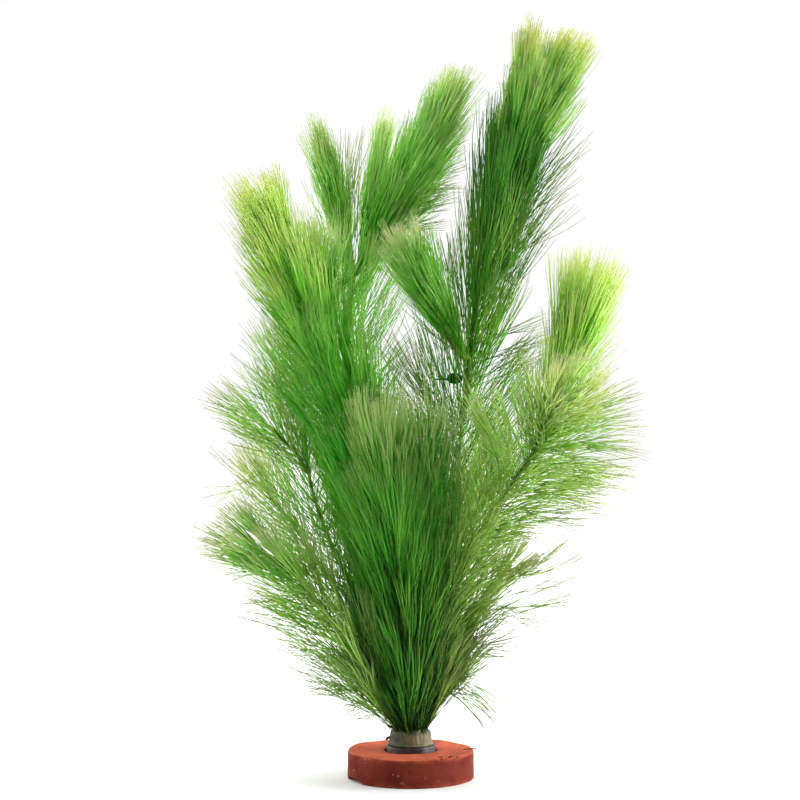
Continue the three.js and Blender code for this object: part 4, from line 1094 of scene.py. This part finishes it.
def ring_surface(sizes):
    """The ring: a rounded rectangle carried round the Z axis, moved along its normals by three ripples.

    The points inside the flake, the pits and the nicks then move out to the surfaces of those ellipsoids.
    """
    hole, outer, high = sizes.hole_diameter / MM / 2, sizes.ring_diameter / MM / 2, sizes.ring_height / MM
    profile, normals, edge = rounded_profile(hole, outer, 0.0, high, RING_ROUNDS, RING_STEP)
    points, faces = closed_band(profile, RING_SIDES)
    angle = np.repeat(np.arange(RING_SIDES) * (math.tau / RING_SIDES), len(profile))
    out, up = np.tile(normals[:, 0], RING_SIDES), np.tile(normals[:, 1], RING_SIDES)
    normal = np.stack([out * np.cos(angle), out * np.sin(angle), up], axis=-1)
    uneven = sum(depth * ripple(points, size, seed) for depth, size, seed in RING_RIPPLES)
    uneven[up < UNDERSIDE] *= FOOT_FLATNESS
    points += normal * uneven[:, None]
    broken, grit = np.zeros(len(points)), np.zeros(len(points))
    flake, bearing = at_bearing(outer + FLAKE["outside"], FLAKE["bearing"]), math.radians(FLAKE["bearing"])
    broken[scoop(points, flake, np.array(FLAKE["size"]), bearing)] = 1.0
    for bearing, pit, inset in RIM_PITS:
        centre = at_bearing(outer - inset, bearing, high + pit * PIT_LIFT)
        broken[scoop(points, centre, pit * PIT_SHAPE)] = 1.0
    for bearing, height, nick in SIDE_NICKS:
        centre = at_bearing(outer + nick * NICK_LIFT, bearing, height)
        broken[scoop(points, centre, np.full(3, nick))] = NICK_PALENESS
    points[:, 2] = np.maximum(points[:, 2], 0.0)
    for radius, bearing, height, half in GRIT:
        away = np.linalg.norm(points - at_bearing(radius, bearing, height), axis=1)
        grit = np.maximum(grit, np.clip(GRIT_REACH - away / half, 0.0, 1.0))
    # top marks the upward faces, where the clay takes its painted light.
    fields = {"edge": np.tile(edge, RING_SIDES), "broken": broken, "grit": grit,
              "top": np.clip(1.6 * up - 0.6, 0.0, 1.0)}
    places = raised(grid_uv(RING_SIDES, len(profile)), RING_MAP_START)
    return points, [faces], [places], fields


def scrap_surface():
    """The scrap of leaf: a tube along SCRAP whose radius swells as a half sine wave from end to end."""
    spine = np.array(SCRAP)
    count = len(spine)
    thin, thick = SCRAP_RADII
    radius = thin + (thick - thin) * np.sin(np.linspace(0.0, math.pi, count))
    across, upright = np.tile([0.0, 1.0, 0.0], (1, count, 1)), np.tile([0.0, 0.0, 1.0], (1, count, 1))
    return tubes(spine[None], radius[None], across, upright, SCRAP_SIDES, {"scrap": np.ones((1, count))},
                 np.linspace(*SCRAP_MAP[:2], count)[None], np.array([SCRAP_MAP[2:]]))


def collar_surface(hole, widest, waist):
    """The foam: an outline carried round the Z axis, waisted under the band and closed at foot and head.

    Above the band each point moves outwards by its pleats, a sum of sine waves in its angle, by ripples
    and by a groove exp(-(angle from the seam / width)^2), all of it fading towards the axis.
    """
    outline = np.array([
        (COLLAR_FOOT, 0.0), (hole - 0.8, 0.0), (hole - 0.1, 0.25), (hole, 1.0), (hole, BAND_LOW - 1.2),
        (hole - 0.2, BAND_LOW - 0.5), (waist, BAND_LOW - 0.35), (waist - 0.1, BAND_LOW + 0.3),
        (waist - 0.1, BAND_HIGH - 0.3), (waist, BAND_HIGH + 0.1), (waist + 0.6, BAND_HIGH + 0.3),
        (widest, BAND_HIGH + 0.7), (widest - 0.1, WRAP_TOP - 2.4), (widest - 0.35, WRAP_TOP - 1.0),
        (widest - 0.8, WRAP_TOP + 0.2), (widest - 1.8, WRAP_TOP + 1.2), (widest - 3.8, WRAP_TOP + 2.2),
        (COLLAR_FOOT, COLLAR_TOP),
    ])
    run = np.concatenate([[0.0], np.cumsum(np.linalg.norm(np.diff(outline, axis=0), axis=1))])
    at = np.linspace(0.0, run[-1], COLLAR_LEVELS)
    radius, height = (np.interp(at, run, outline[:, axis]) for axis in (0, 1))
    angle = np.arange(COLLAR_SIDES) * (math.tau / COLLAR_SIDES)
    grid = np.stack([radius[:, None] * np.cos(angle), radius[:, None] * np.sin(angle),
                     height[:, None] + 0 * angle], axis=-1)
    above = np.clip((height - BAND_HIGH - 0.2) / 2.0, 0.0, 1.0)[:, None]
    pleats = 0.05 * np.sin(13 * angle + 1.3 * np.sin(2 * angle)) + 0.04 * np.sin(29 * angle + 0.7)
    bulge = above * (pleats + 0.22 * ripple(grid, 6.0, 11) + 0.06 * ripple(grid, 1.6, 12))
    seam = np.abs((angle - math.radians(SEAM["bearing"]) + math.pi) % math.tau - math.pi)
    bulge = bulge - above * SEAM["depth"] * np.exp(-((seam / SEAM["width"]) ** 2))
    keep = np.clip(radius / 3.0, 0.0, 1.0)[:, None]
    grid[..., :2] += bulge[..., None] * keep[..., None] * np.stack([np.cos(angle), np.sin(angle)], axis=-1)
    grid[..., 2] += above * 0.25 * ripple(grid, 3.0, 13)
    points, faces, places = capped(grid, (0.0, 0.0, 0.0), (0.0, 0.0, COLLAR_TOP))
    return points, faces, [raised(place, FOAM_MAP_START) for place in places], {}


def curl_surface(widest):
    """The curled edge: a tube along a spiral whose radius shrinks by half, thickest in its middle."""
    count = CURL["points"]
    turn = np.linspace(0.0, math.radians(CURL["turn"]), count)
    size = CURL["radius"] * (1.0 - 0.5 * turn / turn[-1])
    spiral = np.stack([-size * np.cos(turn), -0.12 * turn, size * np.sin(turn)], axis=-1)
    spine = at_bearing(widest - 0.1, CURL["bearing"], CURL["height"]) + spiral
    along = unit(np.gradient(spine, axis=0))
    side = unit(np.cross(along, np.array([0.0, -1.0, 0.0])))
    thick = CURL["thickness"] * np.sin(np.linspace(0.15 * math.pi, 0.85 * math.pi, count)) ** 0.5
    return tubes(spine[None], thick[None], side[None], np.cross(along, side)[None], CURL["sides"], {},
                 np.linspace(*CURL_MAP[:2], count)[None], np.array([CURL_MAP[2:]]))


def band_surface(inner, outer):
    """The band: a rounded rectangle carried round the Z axis, its outside rippled, tilted and sagging.

    Its height gains tilt * sin(angle) - sag * cos(2 * angle), with the angle of the tilt turned a little.
    """
    profile, normals, _ = rounded_profile(inner, outer, BAND_LOW, BAND_HIGH, BAND_ROUNDS, BAND_STEP)
    points, faces = closed_band(profile, BAND_SIDES)
    turn = np.repeat(np.arange(BAND_SIDES) * (math.tau / BAND_SIDES), len(profile))
    outside = np.tile(normals[:, 0], BAND_SIDES) > 0.5
    share, *kind = BAND_UNEVEN
    points[:, :2] *= 1.0 + (share * ripple(points, *kind) * outside)[:, None]
    points[:, 2] += BAND_TILT * np.sin(turn + 0.6) - BAND_SAG * np.cos(2 * turn)
    return points, [faces], [grid_uv(BAND_SIDES, len(profile))], {}


def lump_surface(centre, size, field):
    """A bud or a node of the stem: a ball that takes its colouring from a field of its own."""
    points, faces, places = ball(centre, size)
    corner, ones = np.array([STEM_MAP_START, STEM_MAP_TOP]), np.ones(len(points))
    places = [corner + place * (1.0 - corner) for place in places]
    return points, faces, places, {field: ones, "bare_stem": ones}


class HORNWORT_OT_clay_ring(Operator):
    """Build the fired clay ring weight, with its uneven faces, pits and the flake off its foot"""

    bl_idname = "hornwort.clay_ring"
    bl_label = "Clay ring"

    def execute(self, context):
        sizes, colours = context.scene.hornwort_sizes, context.scene.hornwort_colours
        surface = join([ring_surface(sizes), scrap_surface()])
        make_piece("fired_clay_ring", *surface, clay_material(colours), "clay", "clay_ring")
        return {"FINISHED"}


class HORNWORT_OT_wrap(Operator):
    """Build the foam wrapped round the stems and the dark band that ties it"""

    bl_idname = "hornwort.wrap"
    bl_label = "Foam wrap and band"

    def execute(self, context):
        sizes, colours = context.scene.hornwort_sizes, context.scene.hornwort_colours
        hole, widest = sizes.hole_diameter / MM / 2 - HOLE_PLAY, sizes.wrap_diameter / MM / 2
        outer = sizes.band_diameter / MM / 2
        waist = outer - BAND_THICKNESS
        foam = join([collar_surface(hole, widest, waist), curl_surface(widest)])
        make_piece("foam_collar", *foam, foam_material(colours), "foam", "foam_wrap")
        band = band_surface(waist + BAND_GRIP, outer)
        make_piece("collar_band", *band, band_material(colours), "band", "dark_band")
        return {"FINISHED"}


class HORNWORT_OT_shoots(Operator):
    """Build every hornwort shoot: its stem, and whorls of leaves that fork into four fine ends"""

    bl_idname = "hornwort.shoots"
    bl_label = "Hornwort shoots"

    def execute(self, context):
        sizes, colours = context.scene.hornwort_sizes, context.scene.hornwort_colours
        materials = {look: leaf_material(look, colours) for look in LOOKS}
        for seed, (node, shoot) in enumerate(SHOOTS.items(), FIRST_SEED):
            rng = np.random.default_rng(seed)
            stem = Stem(shoot)
            grown, whorls = leaves(stem, shoot, STRAYS.get(node, []), sizes, rng)
            parts = strands(*grown, shoot, sizes, rng) + [stem_tube(stem, whorls)]
            parts += [lump_surface(*lump) for place, *lump in LUMPS if place == node]
            make_piece("leafy_" + node, *join(parts), materials[shoot["look"]],
                       shoot.get("slot", LOOKS[shoot["look"]][-1]), node)
        return {"FINISHED"}


# The stage: the floor's half side, and where the camera stands, how far it looks down, and its lens.
FLOOR_HALF, FLOOR_GREY = 1.4, (0.93, 0.93, 0.93)
CAMERA = dict(place=(-0.0038, -1.0, 0.190), tilt=3.17, sensor=36.0, lens=127.4, near=0.05, far=50.0)
# Each softbox: its place, side and power. Each spot: its place, aim, power, cone and softness.
SOFTBOX_AIM = (0.0, 0.0, 0.12)
SOFTBOXES = {
    "top_softbox": ((0.0, 0.30, 1.3), 1.2, 8.0),
    "left_softbox": ((-1.2, 0.10, 0.28), 0.8, 9.0),
    "right_softbox": ((1.2, 0.05, 0.28), 0.8, 24.0),
}
SPOTS = {
    "crown_spot": ((0.10, -0.95, 0.95), (0.0, 0.0, 0.20), 28.0, 17.0, 0.12),
    "ring_spot": ((1.0, 0.02, 0.10), (0.0, 0.0, 0.0), 22.0, 3.6, 0.03),
}
# The room's light: from and to along the way it comes from, and its strength at either end. It grows from
# front to back, and again straight overhead.
ROOM_LIGHT = {"fade": (-0.8, 1.0, 0.06, 1.30), "overhead": (0.55, 1.0, 0.0, 1.3)}


def add_lamp(name, kind, place, aim, **settings):
    """A light at a place, turned to its aim."""
    data = bpy.data.lights.new(name, kind)
    for setting, value in settings.items():
        setattr(data, setting, value)
    lamp = bpy.data.objects.new(name, data)
    bpy.context.scene.collection.objects.link(lamp)
    lamp.location = place
    back = np.array(place) - np.array(aim)
    lamp.rotation_euler = (math.atan2(math.hypot(back[0], back[1]), back[2]), 0.0,
                           math.atan2(back[1], back[0]) + math.pi / 2)


def studio_world():
    """A white world to look at, which lights the plant softly from behind and overhead."""
    world = bpy.data.worlds.new("studio")
    world.use_nodes = True
    tree = world.node_tree
    tree.nodes.clear()
    kinds = {"output": "OutputWorld", "shown": "Background", "lit": "Background", "way": "TexCoord",
             "sides": "SeparateXYZ", "fade": "MapRange", "overhead": "MapRange", "both": "Math",
             "path": "LightPath", "mixer": "MixShader"}
    nodes = {name: tree.nodes.new("ShaderNode" + kind) for name, kind in kinds.items()}
    for name in ("shown", "lit"):
        nodes[name].inputs["Color"].default_value = (1.0, 1.0, 1.0, 1.0)
    nodes["shown"].inputs["Strength"].default_value = 1.0
    nodes["fade"].interpolation_type = "SMOOTHSTEP"
    for name, limits in ROOM_LIGHT.items():
        for socket, value in zip(("From Min", "From Max", "To Min", "To Max"), limits):
            nodes[name].inputs[socket].default_value = value
    for start, output, end, socket in (
        ("way", "Generated", "sides", 0), ("sides", "Y", "fade", "Value"),
        ("sides", "Z", "overhead", "Value"), ("fade", "Result", "both", 0),
        ("overhead", "Result", "both", 1), ("both", 0, "lit", "Strength"),
        ("path", "Is Camera Ray", "mixer", 0), ("lit", 0, "mixer", 1), ("shown", 0, "mixer", 2),
        ("mixer", 0, "output", "Surface"),
    ):
        tree.links.new(nodes[start].outputs[output], nodes[end].inputs[socket])
    return world


class HORNWORT_OT_stage(Operator):
    """Set up the pale floor, the soft studio light and the camera"""

    bl_idname = "hornwort.stage"
    bl_label = "Stage"

    def execute(self, context):
        scene = context.scene
        floor = bpy.data.meshes.new("floor")
        corners = [(x * FLOOR_HALF, y * FLOOR_HALF, 0) for x, y in ((-1, -1), (1, -1), (1, 1), (-1, 1))]
        floor.from_pydata(corners, [], [(0, 1, 2, 3)])
        floor_object = bpy.data.objects.new("floor", floor)
        scene.collection.objects.link(floor_object)
        pale = Nodes("pale_floor", Specular_IOR_Level=0.0)
        floor.materials.append(pale.finish(Base_Color=FLOOR_GREY, Roughness=0.9))
        scene.world = studio_world()
        for name, (place, side, power) in SOFTBOXES.items():
            add_lamp(name, "AREA", place, SOFTBOX_AIM, size=side, energy=power)
        for name, (place, aim, power, cone, soft) in SPOTS.items():
            add_lamp(name, "SPOT", place, aim, energy=power, spot_size=math.radians(cone), spot_blend=1.0,
                     shadow_soft_size=soft)
        camera = bpy.data.objects.new("camera", bpy.data.cameras.new("camera"))
        camera.data.sensor_width, camera.data.lens = CAMERA["sensor"], CAMERA["lens"]
        camera.data.clip_start, camera.data.clip_end = CAMERA["near"], CAMERA["far"]
        camera.location = CAMERA["place"]
        camera.rotation_euler = (math.radians(90.0 - CAMERA["tilt"]), 0.0, 0.0)
        scene.collection.objects.link(camera)
        scene.camera = camera
        scene.view_settings.view_transform = "Standard"
        return {"FINISHED"}


class HORNWORT_PT_panel(Panel):
    """Sizes, colours and the steps that build the plant"""

    bl_idname = "HORNWORT_PT_panel"
    bl_label = "Potted hornwort"
    bl_space_type = "VIEW_3D"
    bl_region_type = "UI"
    bl_category = "Hornwort"

    def draw(self, context):
        for group in (context.scene.hornwort_sizes, context.scene.hornwort_colours):
            column = self.layout.column(align=True)
            for name in group.__annotations__:
                column.prop(group, name)
        for operator in OPERATORS:
            self.layout.operator(operator.bl_idname)


OPERATORS = (HORNWORT_OT_stage, HORNWORT_OT_clay_ring, HORNWORT_OT_wrap, HORNWORT_OT_shoots)
CLASSES = (HornwortSizes, HornwortColours, *OPERATORS, HORNWORT_PT_panel)


def register():
    for cls in CLASSES:
        bpy.utils.register_class(cls)
    bpy.types.Scene.hornwort_sizes = PointerProperty(type=HornwortSizes)
    bpy.types.Scene.hornwort_colours = PointerProperty(type=HornwortColours)


def unregister():
    del bpy.types.Scene.hornwort_colours
    del bpy.types.Scene.hornwort_sizes
    for cls in reversed(CLASSES):
        bpy.utils.unregister_class(cls)


def main():
    register()
    bpy.ops.hornwort.stage()
    bpy.ops.hornwort.clay_ring()
    bpy.ops.hornwort.wrap()
    bpy.ops.hornwort.shoots()


if __name__ == "__main__":
    main()
